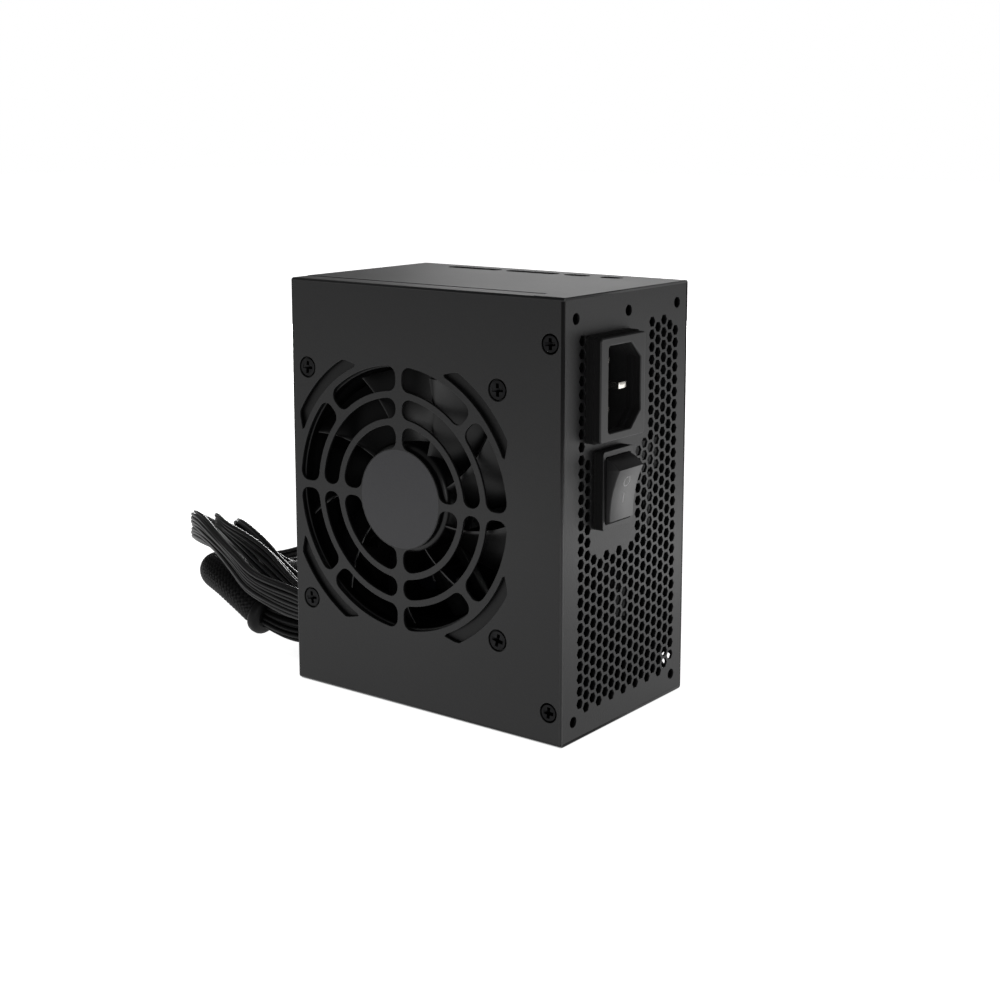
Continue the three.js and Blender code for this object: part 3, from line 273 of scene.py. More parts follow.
# One object from its parts. It stands for one node of the model, or adds to them.
def addPiece(name, parts, material, node=None, body="case", crispAbove=None):
    points, faces, smooth = joinMeshes(parts)
    mesh = bpy.data.meshes.new(name)
    mesh.from_pydata((points * mm).tolist(), [], faces)
    mesh.update()
    mesh.polygons.foreach_set("use_smooth", np.asarray(smooth, bool))
    mesh.materials.append(material)
    item = bpy.data.objects.new(name, mesh)
    bpy.context.scene.collection.objects.link(item)
    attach(item, body)
    if node:
        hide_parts(node)
    if crispAbove:
        smoothByAngle(item, crispAbove)
    return item


# The corners of a four-sided face in backward order, from the same first corner
backward = [0, 3, 2, 1]


# Four-sided faces of a grid of points kept row by row. A closed grid joins its last column to its first.
def gridFaces(rows, columns, closed=False):
    row, i = np.meshgrid(np.arange(rows - 1) * columns, np.arange(columns if closed else columns - 1), indexing="ij")
    after, nextRow = (i + 1) % columns, row + columns
    return np.stack([row + i, row + after, nextRow + after, nextRow + i], 2).reshape(-1, 4)


def arc(x, y, radius, start, end, steps):
    angles = np.radians(np.linspace(start, end, steps + 1))
    return np.stack([x + radius * np.cos(angles), y + radius * np.sin(angles)], 1)


def circle(x, y, radius, sides):
    return arc(x, y, radius, 0, 360, sides)[:-1]


def signedArea(loop):
    x, y = loop[:, 0], loop[:, 1]
    return 0.5 * np.sum(x * np.roll(y, -1) - np.roll(x, -1) * y)


# A loop moved sideways by a distance: each point goes along the bisector of its two edges
def insetLoop(loop, distance):
    before = loop - np.roll(loop, 1, 0)
    after = np.roll(loop, -1, 0) - loop
    before /= np.linalg.norm(before, axis=1)[:, None]
    after /= np.linalg.norm(after, axis=1)[:, None]
    normals = np.stack([-(before + after)[:, 1], (before + after)[:, 0]], 1)
    normals /= np.maximum(np.linalg.norm(normals, axis=1), 1e-9)[:, None]
    lean = np.sum(normals * np.stack([-after[:, 1], after[:, 0]], 1), 1)
    return loop + normals * (distance / np.maximum(lean, 0.35))[:, None]


planeAxes = {"x": (1, 2, 0), "y": (0, 2, 1), "z": (0, 1, 2)}


def placePoints(plane, flat, level):
    points = np.zeros((len(flat), 3))
    first, second, third = planeAxes[plane]
    points[:, first], points[:, second], points[:, third] = flat[:, 0], flat[:, 1], level
    return points


# The side walls are turned to face the same way as the flat faces
def fixWinding(points, faces):
    mesh = bmesh.new()
    verts = [mesh.verts.new(p) for p in points]
    for face in faces:
        mesh.faces.new([verts[i] for i in face])
    mesh.verts.index_update()
    bmesh.ops.recalc_face_normals(mesh, faces=mesh.faces)
    turned = [tuple(v.index for v in face.verts) for face in mesh.faces]
    mesh.free()
    return turned


square = (0, 0)  # an edge with no rounding on either face


# A flat plate with openings. The first loop is the outline and the rest are openings.
# Every edge is rounded by a quarter circle: edge holds its radius on the face at low and on the face at high,
# and rim holds the same for the outline, where 0 leaves it square.
def plate(loops, plane, low, high, edge=(0.12, 0.12), rim=None, steps=2):
    points, faces, smooth, rings, first = [], [], [], [], 0
    for number, loop in enumerate(loops):
        loop = np.asarray(loop, float)
        if (signedArea(loop) > 0) != (number == 0):
            loop = loop[::-1]
        under, over = edge if number or rim is None else rim
        profile = []
        for radius, level, side, turns in ((under, low, 1, (0, 90)), (over, high, -1, (90, 0))):
            for turn in np.radians(np.linspace(*turns, steps + 1)) if radius else ():
                profile.append((radius * (1 - math.sin(turn)), level + side * radius * (1 - math.cos(turn))))
            if not radius:
                profile.append((0, level))
        points += [placePoints(plane, insetLoop(loop, inset), level) for inset, level in profile]
        count, walls = len(loop), len(profile) - 1
        faces += (gridFaces(len(profile), count, closed=True) + first).tolist()
        smooth += [True] * count * walls
        rings.append((first, first + walls * count, count))
        first += len(profile) * count
    everything = np.vstack(points)
    keep = planeAxes[plane][:2]
    for which in (0, 1):
        starts = [(ring[which], ring[2]) for ring in rings]
        lookup = [start + i for start, count in starts for i in range(count)]
        outlines = [[Vector((*p, 0)) for p in everything[start:start + count, keep]] for start, count in starts]
        for triangle in tessellate_polygon(outlines):
            faces.append(tuple(lookup[i] for i in triangle))
            smooth.append(False)
    return everything, fixWinding(everything, faces), smooth


def rectangle(x0, x1, y0, y1):
    return np.array([(x0, y0), (x1, y0), (x1, y1), (x0, y1)], float)


def roundRectangle(x0, x1, y0, y1, radius, steps=6):
    centres = rectangle(x0 + radius, x1 - radius, y0 + radius, y1 - radius)
    return np.vstack([arc(*centres[k], radius, 90 * k - 180, 90 * k - 90, steps) for k in (1, 2, 3, 0)])


# A rectangle about its middle, with round corners where it has a radius
def centred(x, y, width, height, radius=None, steps=6):
    sides = (x - width / 2, x + width / 2, y - height / 2, y + height / 2)
    return rectangle(*sides) if radius is None else roundRectangle(*sides, radius, steps)


# A profile of [radius, place] turned about an axis through a point
def turned(profile, plane, centre, sides=48):
    radii, levels = np.array(profile, float).T
    angles = np.radians(np.arange(sides) * 360 / sides)
    unit = np.stack([np.cos(angles), np.sin(angles)], 1)
    flat = np.array(centre) + radii[:, None, None] * unit
    faces = gridFaces(len(profile), sides, closed=True).tolist()
    return placePoints(plane, flat.reshape(-1, 2), np.repeat(levels, sides)), faces, [True] * len(faces)


# Cables. Each follows the route that the model gives it, in millimetres: its own points, half a loop
# round two centres on the ground, and a straight end behind the case.

cableLoop = {"x": -84.0, "y": 75.0, "ground": 0.1, "turn": 15.0, "outlet": -51.7}
wireShape = {"radius": 0.72, "sides": 8, "pitch": 3.0, "goldenTurn": 137.508, "waves": (47.0, 83.0), "sway": 0.13}
cables = {
    "atx": {"diameter": 11.0, "lane": 33.0, "straight": 3.0, "end": 62.0, "wires": 28, "points": [
        (-48.5, -18, 10.5), (-54.5, -18.1, 10.4), (-62.4, -18.6, 10.2), (-70, -18.7, 10.8), (-78, -19, 12.8),
        (-86, -18.8, 16.6), (-96, -17, 19.9), (-105.5, -13, 20.6), (-112.5, -5.5, 19), (-116.2, 4, 15.6),
        (-117.4, 15, 11.2), (-117.2, 27, 7.6), (-117, 40, 5.8), (-117, 56, 5.6)]},
    "cpu": {"diameter": 7.0, "lane": 61.0, "straight": 32.5, "end": 75.0, "wires": 14, "points": [
        (-48.5, -22.5, 18.8), (-54, -22.6, 18.9), (-67, -24.8, 21.8), (-77, -25, 24.6), (-86.5, -23, 29),
        (-98, -19.5, 32.7), (-110, -14.8, 34.8), (-120, -9, 34), (-129, -0.5, 30.8), (-137, 9, 26.5),
        (-142, 20, 21), (-144.8, 32, 14), (-145.3, 44, 7.2), (-145, 57, 3.8)]},
    "drive": {"diameter": 5.6, "lane": 52.0, "straight": 28.5, "end": 75.0, "wires": 9, "points": [
        (-48.5, -15.8, 19.3), (-55, -15.8, 19.5), (-64.8, -15.6, 21.2), (-74, -14.2, 24.3), (-83, -13, 28.3),
        (-93, -11.6, 32), (-104, -9, 34.6), (-114, -3.5, 34.8), (-123, 4, 31.6), (-130, 13, 26),
        (-134.5, 23, 19.5), (-136.2, 34, 12), (-136.3, 45, 5.6), (-136, 57, 3.1)]},
    "pcie": {"diameter": 7.0, "lane": 43.0, "straight": 27.5, "end": 75.0, "wires": 14, "points": [
        (-48.5, -9.9, 15.4), (-56, -9.8, 15.5), (-65, -8.8, 17), (-73, -7.2, 19.6), (-84.8, -4.4, 23.4),
        (-93, -2.6, 27.2), (-102, -0.5, 30.2), (-111, 3, 31), (-118.5, 9, 28.5), (-123.5, 17, 23.5),
        (-126.2, 26, 17), (-127.2, 36, 10), (-127.2, 46, 5), (-127, 58, 3.7)]},
}


def routePoints(cable):
    loop, lane, straight, end = cableLoop, cable["lane"], cable["straight"], cable["end"]
    z = cable["diameter"] / 2 + loop["ground"]
    points = [tuple(p) for p in cable["points"]]
    for x, start in ((loop["x"], 180.0), (loop["x"] + straight, 90.0)):
        half = loop["turn"] / 2
        points += [(a, b, z) for a, b in arc(x, loop["y"], lane, start - half, start - 90 + half, 5)]
    if end < loop["y"] - 6:
        points.append((loop["x"] + straight + lane, loop["y"] - 3, z))
    points.append((loop["x"] + straight + lane, end, z))
    return np.array(points, float)


# Places along the route at even distances: the curve through four points at a time, where the slope at a
# point is half the step between its neighbours
def evenPlaces(points, step):
    padded = np.vstack([2 * points[0] - points[1], points, 2 * points[-1] - points[-2]])
    t = np.linspace(0, 1, 24, endpoint=False)[:, None]
    pieces = []
    for i in range(len(points) - 1):
        a, b, c, d = padded[i:i + 4]
        pieces.append(0.5 * (2 * b + (c - a) * t + (2 * a - 5 * b + 4 * c - d) * t ** 2
                             + (3 * b - a - 3 * c + d) * t ** 3))
    fine = np.vstack(pieces + [points[-1:]])
    far = np.concatenate([[0], np.cumsum(np.linalg.norm(np.diff(fine, axis=0), axis=1))])
    at = np.linspace(0, far[-1], max(2, int(round(far[-1] / step)) + 1))
    return np.stack([np.interp(at, far, fine[:, k]) for k in range(3)], 1), at


# At each place: the direction of travel, a level direction across it, and the upward direction square to both
def routeFrames(places):
    along = np.gradient(places, axis=0)
    along /= np.linalg.norm(along, axis=1)[:, None]
    across = np.cross(along, (0, 0, 1))
    across /= np.linalg.norm(across, axis=1)[:, None]
    return along, across, np.cross(across, along)


# A round tube along places, closed at both ends: at each place a ring of the cosine across and the sine up
def tubeMesh(places, radii, sides):
    across, up = routeFrames(places)[1:]
    turns = np.linspace(0, 2 * math.pi, sides, endpoint=False)
    ring = np.cos(turns)[None, :, None] * across[:, None] + np.sin(turns)[None, :, None] * up[:, None]
    points = (places[:, None] + ring * np.broadcast_to(radii, len(places))[:, None, None]).reshape(-1, 3)
    faces = gridFaces(len(places), sides, closed=True).tolist()
    last = len(points) - sides
    ends = [tuple(range(sides))[::-1], tuple(range(last, last + sides))]
    return points, faces + ends, [True] * len(faces) + [False] * 2


# Wires of a bundle: their places in the round bundle, sorted from low to high, and the same wires side by side.
# Each key along the cable gives the distance, how flat the bundle is from 0 to 1, and its half width.
# Two slow waves move each wire a little, and none sinks into the floor.
def wireTubes(count, places, at, keys, seed):
    number = np.arange(count)
    radius = np.sqrt((number + 0.5) / count)
    turn = number * math.radians(wireShape["goldenTurn"])
    disc = np.stack([radius * np.cos(turn), radius * np.sin(turn)], 1)
    disc = disc[np.argsort(disc[:, 1])]
    row = np.stack([0.12 * np.where(number % 2, 1, -1), np.linspace(-1, 1, count)], 1)
    far, flat, half = (np.array([key[k] for key in keys], float) for k in range(3))
    blend, size = smoothKeys(at, far, flat)[:, None], smoothKeys(at, far, half)[:, None]
    across, up = routeFrames(places)[1:]
    random = np.random.default_rng(seed)
    tubes = []
    for i in range(count):
        spot = (disc[i] * (1 - blend) + row[i] * blend) * size
        for k in range(2):
            for wave in wireShape["waves"]:
                spot[:, k] += (wireShape["sway"] * np.sin(2 * math.pi * (at / wave + random.random()))
                               * np.clip(at / 12, 0, 1))
        wire = places + across * spot[:, :1] + up * spot[:, 1:]
        wire[:, 2] = np.maximum(wire[:, 2], wireShape["radius"] + cableLoop["ground"])
        tubes.append(tubeMesh(wire, wireShape["radius"], wireShape["sides"]))
    return tubes


def smoothKeys(at, far, values):
    low = np.clip(np.searchsorted(far, at, side="right") - 1, 0, len(far) - 2)
    t = np.clip((at - far[low]) / (far[low + 1] - far[low]), 0, 1)
    t = t * t * (3 - 2 * t)
    return values[low] * (1 - t) + values[low + 1] * t


# A tie round a bundle: a thin band and its small square head
def tieMesh(place, along, across, up, radius, width=2.4, thick=0.7, sides=32):
    turns = np.linspace(0, 2 * math.pi, sides, endpoint=False)[:, None]
    band = [place + along * offset * width + (radius + grow) * (np.cos(turns) * across + np.sin(turns) * up)
            for offset, grow in ((-0.5, 0), (-0.5, thick), (0.5, thick), (0.5, 0))]
    head = np.array([place + along * a * width * 0.75 + across * b * 1.5 + up * (radius + 0.4 + c)
                     for a in (-1, 1) for b in (-1, 1) for c in (0.0, 1.3)])
    box = np.array([(0, 1, 3, 2), (4, 6, 7, 5), (0, 4, 5, 1), (2, 3, 7, 6), (0, 2, 6, 4), (1, 5, 7, 3)])
    faces = gridFaces(5, sides, closed=True) % (4 * sides)
    return np.vstack(band + [head]), np.vstack([faces, box + 4 * sides]).tolist(), [True] * len(faces) + [False] * 6


# A plain weave round a tube: two families of flat strands turn opposite ways at 45 degrees.
# A strand rises and falls as a cosine, once for every two strands that it meets.
def braidMesh(places, at, radius, strands=20, width=1.0, lift=0.2, ridge=0.1):
    along, across, up = routeFrames(places)
    meets = strands / (math.pi * radius)
    points, faces, strand = [], [], gridFaces(3, len(places))
    for hand in (-1, 1):
        height = radius + hand * lift * np.cos(math.pi * meets * at)
        for k in range(strands):
            turn = 2 * math.pi * k / strands + hand * at / radius
            faces += (strand if hand > 0 else strand[:, ::-1]).tolist()
            strand = strand + 3 * len(places)
            for side, raised in ((-1, 0.0), (0, ridge), (1, 0.0)):
                shift = side * width / 2 * math.sqrt(0.5)
                a = (turn - hand * shift / radius)[:, None]
                ring = np.cos(a) * across + np.sin(a) * up
                points.append(places + along * shift + ring * (height + raised)[:, None])
    return np.vstack(points), faces, [True] * len(faces)


# A round-edged collar: its radius falls off with the cube of the distance from its middle
def collarMesh(places, at, start, end, radius):
    part = places[(at >= start) & (at <= end)]
    t = np.linspace(-1, 1, len(part))
    return tubeMesh(part, radius * (1 - 0.26 * np.abs(t) ** 3), 28)


bundleKeys = {
    "atx": [(0, 0, 4.3), (12, 0, 4.5), (26, 0, 3.9), (40, 0, 3.9)],
    "atxTail": [(0, 0, 3.5), (20, 0.5, 6.5)],
    "cpu": [(0, 1, 3.0), (12, 1, 4.3), (28, 0.9, 3.6), (52, 0.85, 2.9), (72, 0.95, 3.9), (108, 1, 4.5),
            (150, 0.2, 2.6), (385, 0, 2.5), (404, 0, 2.5)],
    "drive": [(0, 0.4, 1.7), (10, 0.9, 2.2), (34, 1, 4.4), (62, 0.9, 2.0), (100, 0.8, 2.6), (150, 0, 1.9),
              (345, 0, 1.9), (359, 1, 4.2)],
    "pcie": [(0, 0, 2.6), (14, 0.3, 2.9), (45, 0.45, 3.3), (90, 0.5, 3.3), (130, 0.1, 2.6), (314, 0, 2.5)],
}
# The radius that a cable's ties hold, and how far along it each one is
cableTies = {"cpu": (3.5, (196, 275, 385)), "drive": (2.9, (190, 255, 338)), "pcie": (3.5, (175, 235, 296))}
# The sleeve starts past the outlet and ends short of the connector. A collar is how far it reaches back and on,
# and its radius.
sleeveShape = {"start": 28.5, "left": 13.0, "core": 5.05, "radius": 5.3, "step": 0.33, "wireStep": 1.6, "tail": 10,
               "collar": (2.4, 2.6, 7.0), "farCollar": (9, 1.5, 5.65)}


def sleevedParts(cable, points, places, at, seed):
    f = sleeveShape
    start, end = f["start"], at[-1] - f["left"]
    fine, fineAt = evenPlaces(points, f["step"])
    inside = (fineAt >= start) & (fineAt <= end)
    bare, bareAt = evenPlaces(points, f["wireStep"])
    first, last = bareAt <= start + 6, bareAt >= end - 2
    parts = wireTubes(cable["wires"], bare[first], bareAt[first], bundleKeys["atx"], seed)
    parts += [tubeMesh(places[(at >= start + 1) & (at <= end - 1)], f["core"], 24),
              braidMesh(fine[inside], fineAt[inside], f["radius"])]
    for middle, (back, on, radius) in ((start, f["collar"]), (end, f["farCollar"])):
        parts.append(collarMesh(fine, fineAt, middle - back, middle + on, radius))
    return parts + wireTubes(f["tail"], bare[last], bareAt[last] - bareAt[last][0], bundleKeys["atxTail"], seed)


def buildCable(name, seed):
    cable = cables[name]
    points = routePoints(cable)
    places, at = evenPlaces(points, wireShape["pitch"])
    if name == "atx":
        parts, material, slot = sleevedParts(cable, points, places, at, seed), braidFibre, "sleeve"
    else:
        parts, material, slot = wireTubes(cable["wires"], places, at, bundleKeys[name], seed), wireBlack, "wire"
        radius, ties = cableTies[name]
        ways = (places, *routeFrames(places))
        parts += [tieMesh(*(way[np.argmin(abs(at - far))] for way in ways), radius) for far in ties]
    for part in parts:
        part[0][:, 2] = np.maximum(part[0][:, 2], 0)  # ties press flat where they rest on the floor
    item = addPiece(name + "Cable", parts, material, name + "_cable")


for seed, name in enumerate(cables):
    buildCable(name, seed + 3)
sayStage("cables")


# Case sizes, from the model. The cover's upper flange lies one step below the case's top, a gap beside it.
caseSize = {"halfWidth": 50.0, "front": -31.75, "back": 31.75, "height": 125.0, "sheet": 0.8, "bend": 0.8,
            "seam": -24.85, "flangeEnd": 39.5, "flangeCorner": 1.5, "gap": 0.2, "step": 0.12, "edge": 0.22,
            "slots": ((16.5, 37), (39.5, 59), (61.5, 70.3), (74.7, 82)), "slotSides": (22.0, 26.0, 1.99),
            "backHoles": (45.3, 8.3, 2.2), "outlet": (-28.15, -4.55, 3.35, 24.45, 4.0)}
fanPlace = {"x": -7.85, "z": 62.5, "holes": 35.75}
# Each ring has its inner and outer radius, its number of slots and the radius of their corners.
# A corner slot has both radii and half its span inside and outside, in degrees.
grille = {"web": 2.3, "rings": [(15.0, 21.9, 4, 2.8), (23.9, 29.9, 4, 2.8), (31.9, 39.2, 8, 2.8)],
          "corner": (41.2, 44.9, 21.5, 17.0)}
fanHoles = [(fanPlace["x"] + a * fanPlace["holes"], fanPlace["z"] + b * fanPlace["holes"])
            for a in (-1, 1) for b in (-1, 1)]
coverHoles = [(45.6, 112.4), (45.6, 9.3)]
sinkRadius = {"cover": 2.85, "fan": 3.2}  # the mouth of a screw's sink


# An opening of the grille between two rings and two straight webs. Each corner is an arc that touches both:
# the sine of its turn from the web is the web's half width and the corner over the corner's distance.
def ringSlot(inner, outer, start, end, corner):
    x, z, web = fanPlace["x"], fanPlace["z"], grille["web"] / 2
    near = math.degrees(math.asin((web + corner) / (inner + corner)))
    far = math.degrees(math.asin((web + corner) / (outer - corner)))

    def cornerArc(radius, angle, first, last):
        a = math.radians(angle)
        return arc(x + radius * math.cos(a), z + radius * math.sin(a), corner, first, last, 5)

    fine = max(4, round((end - start) / 3))
    return np.vstack([
        cornerArc(inner + corner, start + near, start + near + 180, start + 270),
        cornerArc(outer - corner, start + far, start - 90, start + far),
        arc(x, z, outer, start + far, end - far, fine)[1:-1],
        cornerArc(outer - corner, end - far, end - far, end + 90),
        cornerArc(inner + corner, end - near, end + 90, end - near + 180),
        arc(x, z, inner, end - near, start + near, fine)[1:-1]])


# An opening at a corner of the fan: part of a ring, drawn in towards the outside, with round tips
def cornerSlot(middle):
    inner, outer, innerSpan, outerSpan = grille["corner"]
    x, z = fanPlace["x"], fanPlace["z"]

    def tip(radius, angle):
        return arc(x, z, radius, angle, angle, 0)

    return np.vstack([
        arc(x, z, inner, middle + innerSpan - 1.0, middle - innerSpan + 1.0, 12),
        tip(inner + 0.5, middle - innerSpan), tip(outer - 0.8, middle - outerSpan - 0.5),
        arc(x, z, outer, middle - outerSpan + 1.2, middle + outerSpan - 1.2, 10),
        tip(outer - 0.8, middle + outerSpan + 0.5), tip(inner + 0.5, middle + innerSpan)])


# A rounded edge: a quarter of a rod, from the axis out to the arc
def quarterStrip(centre, start, axis, low, high, radius):
    return plate([np.vstack([arc(*centre, radius, start, start + 90, 6), centre])], axis, low, high, square)


# An eighth of a ball that closes a corner where three rounded edges meet: the cosines and sines of two turns
def cornerBall(centre, signs, radius, steps=6):
    u, v = np.meshgrid(*[np.radians(np.linspace(0, 90, steps + 1))] * 2, indexing="ij")
    ball = np.stack([np.cos(v) * np.cos(u), np.cos(v) * np.sin(u), np.sin(v)], 2)
    points = (np.array(centre) + radius * ball * np.array(signs)).reshape(-1, 3)
    faces = gridFaces(steps + 1, steps + 1)
    faces = faces[:, [1, 2, 3, 0] if np.prod(signs) < 0 else backward]
    return points, faces.tolist(), [True] * len(faces)


def buildCover():
    c = caseSize
    w, h, t, r = c["halfWidth"], c["height"] - c["step"], c["sheet"], c["bend"]
    front, seam, edge, corner = c["front"], c["seam"], c["edge"], c["flangeCorner"]
    openings = [ringSlot(inner, outer, a, a + 360 / count, tip) for inner, outer, count, tip in grille["rings"]
                for a in np.arange(count) * 360 / count]
    openings += [cornerSlot(45 + 90 * k) for k in range(4)]
    openings += [circle(x, z, sinkRadius["fan"], 36) for x, z in fanHoles]
    openings += [circle(x, z, sinkRadius["cover"], 36) for x, z in coverHoles]
    # A crisp edge beside the panel, a round one beside the cable side, and two folded flanges
    crisp = np.vstack([arc(w - edge, front + edge, edge, -90, 0, 4),
                       [(w, front + r), (w - r, front + r), (w - r, front)]])
    parts = [plate([rectangle(-w + r, w - r, r, h - r)] + openings, "y", front, front + t, (0.12, 0.05), square),
             plate([crisp], "z", r, h - r, square),
             quarterStrip((-w + r, front + r), 180, "z", r, h - r, r)]
    flange = np.vstack([[(-w + r, front + r), (c["flangeEnd"], front + r)],
                        arc(c["flangeEnd"] - corner, seam - corner, corner, 0, 90, 6), [(-w + r, seam)]])
    for level, side, turn in ((0.0, 1, 180), (h, -1, 90)):
        middle = level + side * r
        parts += [quarterStrip((front + r, middle), turn, "x", -w + r, w, r),
                  cornerBall((r - w, front + r, middle), (-1, -1, -side), r),
                  plate([flange], "z", *sorted((level, level + side * t)), (0.1, 0.0)[::side]),
                  quarterStrip((-w + r, middle), turn, "y", front + r, seam, r)]
    addPiece("fanCover", parts, powderCoat, "fan_cover")


def buildTray():
    c = caseSize
    w, h, t, r = c["halfWidth"], c["height"], c["sheet"], c["bend"]
    front, back, seam, end = c["front"], c["back"], c["seam"] + c["gap"], c["flangeEnd"] + c["gap"]
    holeX, holeZ, holeRadius = c["backHoles"]
    outline = np.array([(-w + r, seam), (end, seam), (end, front + r), (w, front + r), (w, back - r),
                        (-w + r, back - r)])
    slots = [roundRectangle(a - w, b - w, *c["slotSides"]) for a, b in c["slots"]]
    holes = [circle(holeX, z, holeRadius, 24) for z in (holeZ, h - holeZ)]
    parts = [plate([rectangle(-w + r, w, r, h - r)] + holes, "y", back - t, back, (0.05, 0.12), square),
             quarterStrip((-w + r, back - r), 90, "z", r, h - r, r),
             plate([rectangle(front + r, back - r, r, h - r), roundRectangle(*c["outlet"])], "x", -w, -w + t,
                   (0.12, 0.05), square)]
    for level, side, turn in ((0.0, 1, 180), (h, -1, 90)):
        middle = level + side * r
        parts += [plate([outline] + slots, "z", *sorted((level, level + side * t)), (0.12, 0.05)[::side],
                        (0.06, 0.0)[::side]),
                  quarterStrip((back - r, middle), turn + 90 * side, "x", -w + r, w, r),
                  quarterStrip((-w + r, middle), turn, "y", seam, back - r, r),
                  cornerBall((-w + r, back - r, middle), (-1, 1, -side), r)]
    addPiece("caseTray", parts, powderCoat, "base_case")


# Mains panel: hexagons from the top down, in columns from the fan side. Even columns start half a pitch lower.
# No hexagon is drawn above the plain metal round the inlet and the switch, or near a fixing hole.
panelShape = {"columns": 16, "first": 9.0, "pitchY": 3.2, "pitchZ": 3.655, "top": 114.5, "bottom": 8.4, "across": 2.8,
              "plain": ((-21.55, 10.85, 81.0), (-17.8, 4.5, 52.1)), "fixingRadius": 1.6, "fixingClear": 5.3,
              "fixings": ((-25.9, 118.9), (0.0, 118.9), (25.9, 118.9), (-25.9, 5.85), (25.9, 5.85)),
              "cuts": ((-18.85, 1.25, 84.85, 112.85), (-16.3, -2.3, 59.65, 80.85))}


def ventPlaces():
    f = panelShape
    places = []
    for column in range(f["columns"]):
        y = caseSize["front"] + f["first"] + column * f["pitchY"]
        z = f["top"] - (0 if column % 2 else f["pitchZ"] / 2)
        while z > f["bottom"]:
            plain = any(a < y < b and z > low for a, b, low in f["plain"])
            if not plain and all(math.hypot(y - a, z - b) >= f["fixingClear"] for a, b in f["fixings"]):
                places.append((y, z))
            z -= f["pitchZ"]
    return places


def buildPanel():
    f, c = panelShape, caseSize
    cuts = [circle(y, z, f["across"] / math.sqrt(3), 6) for y, z in ventPlaces()]
    cuts += [circle(y, z, f["fixingRadius"], 28) for y, z in f["fixings"]] + [rectangle(*cut) for cut in f["cuts"]]
    outline = rectangle(c["front"] + c["bend"], c["back"] - c["sheet"], c["sheet"], c["height"] - c["sheet"])
    panel = plate([outline] + cuts, "x", c["halfWidth"] - c["sheet"], c["halfWidth"], (0.04, 0.05), square)
    addPiece("mainsPanel", [panel], powderCoat, "mains_panel")


buildCover()
buildTray()
buildPanel()
# A strip of black insulating film lies inside, over the slots of the bottom. It is put there as painted shade, to keep
# the slots dark.
addPiece("slotFilm", [plate([roundRectangle(-35.5, 34.0, 20.0, 28.0, 1.0)], "z", 0.85, 1.0, square)], filmBlack)
sayStage("case")


# Countersunk screws with a cross recess that narrows to its point: depths are from the head's face.
# Each screw has its place and how far its cross is turned.
screwShape = {"gap": 0.48, "sunk": 0.1, "face": 0.25, "cone": 1.3, "length": 5.5, "shank": 1.5, "depth": 1.5,
              "point": 0.35, "arm": 0.68, "width": 0.5}
screws = {"cover_screw_1": (*coverHoles[0], 3), "cover_screw_2": (*coverHoles[1], -4), "fan_screw_1": (27.9, 98.25, 2),
          "fan_screw_2": (-43.6, 98.25, -3), "fan_screw_3": (-43.6, 26.75, 8), "fan_screw_4": (27.9, 26.75, -14)}


def crossLoop(x, z, reach, half, turn):
    corner = half * 1.25
    points = []
    for angle in np.radians(90 * np.arange(4) + turn):
        points += [(x + u * math.cos(angle) - v * math.sin(angle), z + u * math.sin(angle) + v * math.cos(angle))
                   for u, v in ((reach, -half), (reach, half), (corner, half), (half, corner))]
    return np.array(points)


def buildScrew(name, x, z, turn):
    f, top = screwShape, caseSize["front"] + screwShape["sunk"]
    head = sinkRadius[name.split("_")[0]] - f["gap"]
    cross = crossLoop(x, z, f["arm"] * head, f["width"], turn)
    point = np.array([x, z]) + (cross - np.array([x, z])) * f["point"]
    walls = gridFaces(2, len(cross), closed=True).tolist()
    parts = [plate([circle(x, z, head, 40), cross], "y", top, top + f["face"], (0.08, 0.0), (0.1, 0.0)),
             plate([point], "y", top + f["depth"], top + f["depth"] + 0.1, square),
             turned([(head, top + f["face"]), (f["shank"], top + f["cone"]), (f["shank"], top + f["length"]),
                     (0.01, top + f["length"])], "y", (x, z), 40),
             (np.vstack([placePoints("y", cross, top + 0.2), placePoints("y", point, top + f["depth"])]), walls,
              [False] * len(walls))]
    addPiece(name.replace("_s", "S").replace("_", ""), parts, screwBlack, name)


for name, facts in screws.items():
    buildScrew(name, *facts)
sayStage("screws")


# Fan: the rotor's blades follow one formula. A point of a blade lies at a radius between the hub and the tip,
# its angle falls behind the leading edge's by the wrap, and its depth grows along the chord with a slight bow.
# Its thickness follows a blunt oval: the root of one less the 14th power of the place along the chord.
fanShape = {"hub": 16.5, "tip": 37.5, "blades": 9, "turn": 35.5, "sweep": 17.5, "wrap": 29.0, "thick": 1.1,
            "hubFront": -29.75, "hubBack": -18.95, "leading": -29.2, "trailing": -19.35, "bow": 0.16,
            "root": 0.6, "blunt": 14, "round": 1.6, "wall": 1.2}


def bladeSheet(number, spans=20, chords=16):
    f = fanShape
    out = (1 - np.cos(np.linspace(0, math.pi, chords + 1))) / 2
    side = np.concatenate([np.ones(chords + 1), -np.ones(chords - 1)])
    s, t = np.meshgrid(np.linspace(0, 1, spans + 1), np.concatenate([out, out[::-1][1:-1]]), indexing="ij")
    radius = f["hub"] - f["root"] + (f["tip"] - f["hub"] + f["root"]) * s
    half = side * f["thick"] / 2 * np.sqrt(np.clip(1 - abs(2 * t - 1) ** f["blunt"], 0, 1))
    turn = f["turn"] + number * 360 / f["blades"] - f["sweep"] * (1 - s) - f["wrap"] * t
    angle = np.radians(turn) + half * 0.75 / radius
    bow = f["bow"] * np.sin(math.pi * t) * (1 - t)
    y = f["leading"] + (f["trailing"] - f["leading"]) * (t + bow) + half * 0.65
    points = np.stack([fanPlace["x"] + radius * np.cos(angle), y, fanPlace["z"] + radius * np.sin(angle)], 2)
    columns = points.shape[1]
    faces = gridFaces(spans + 1, columns, closed=True)[:, backward].tolist()
    last = spans * columns
    ends = [tuple(range(columns)), tuple(range(last, last + columns))[::-1]]
    return points.reshape(-1, 3), faces + ends, [True] * len(faces) + [False] * 2


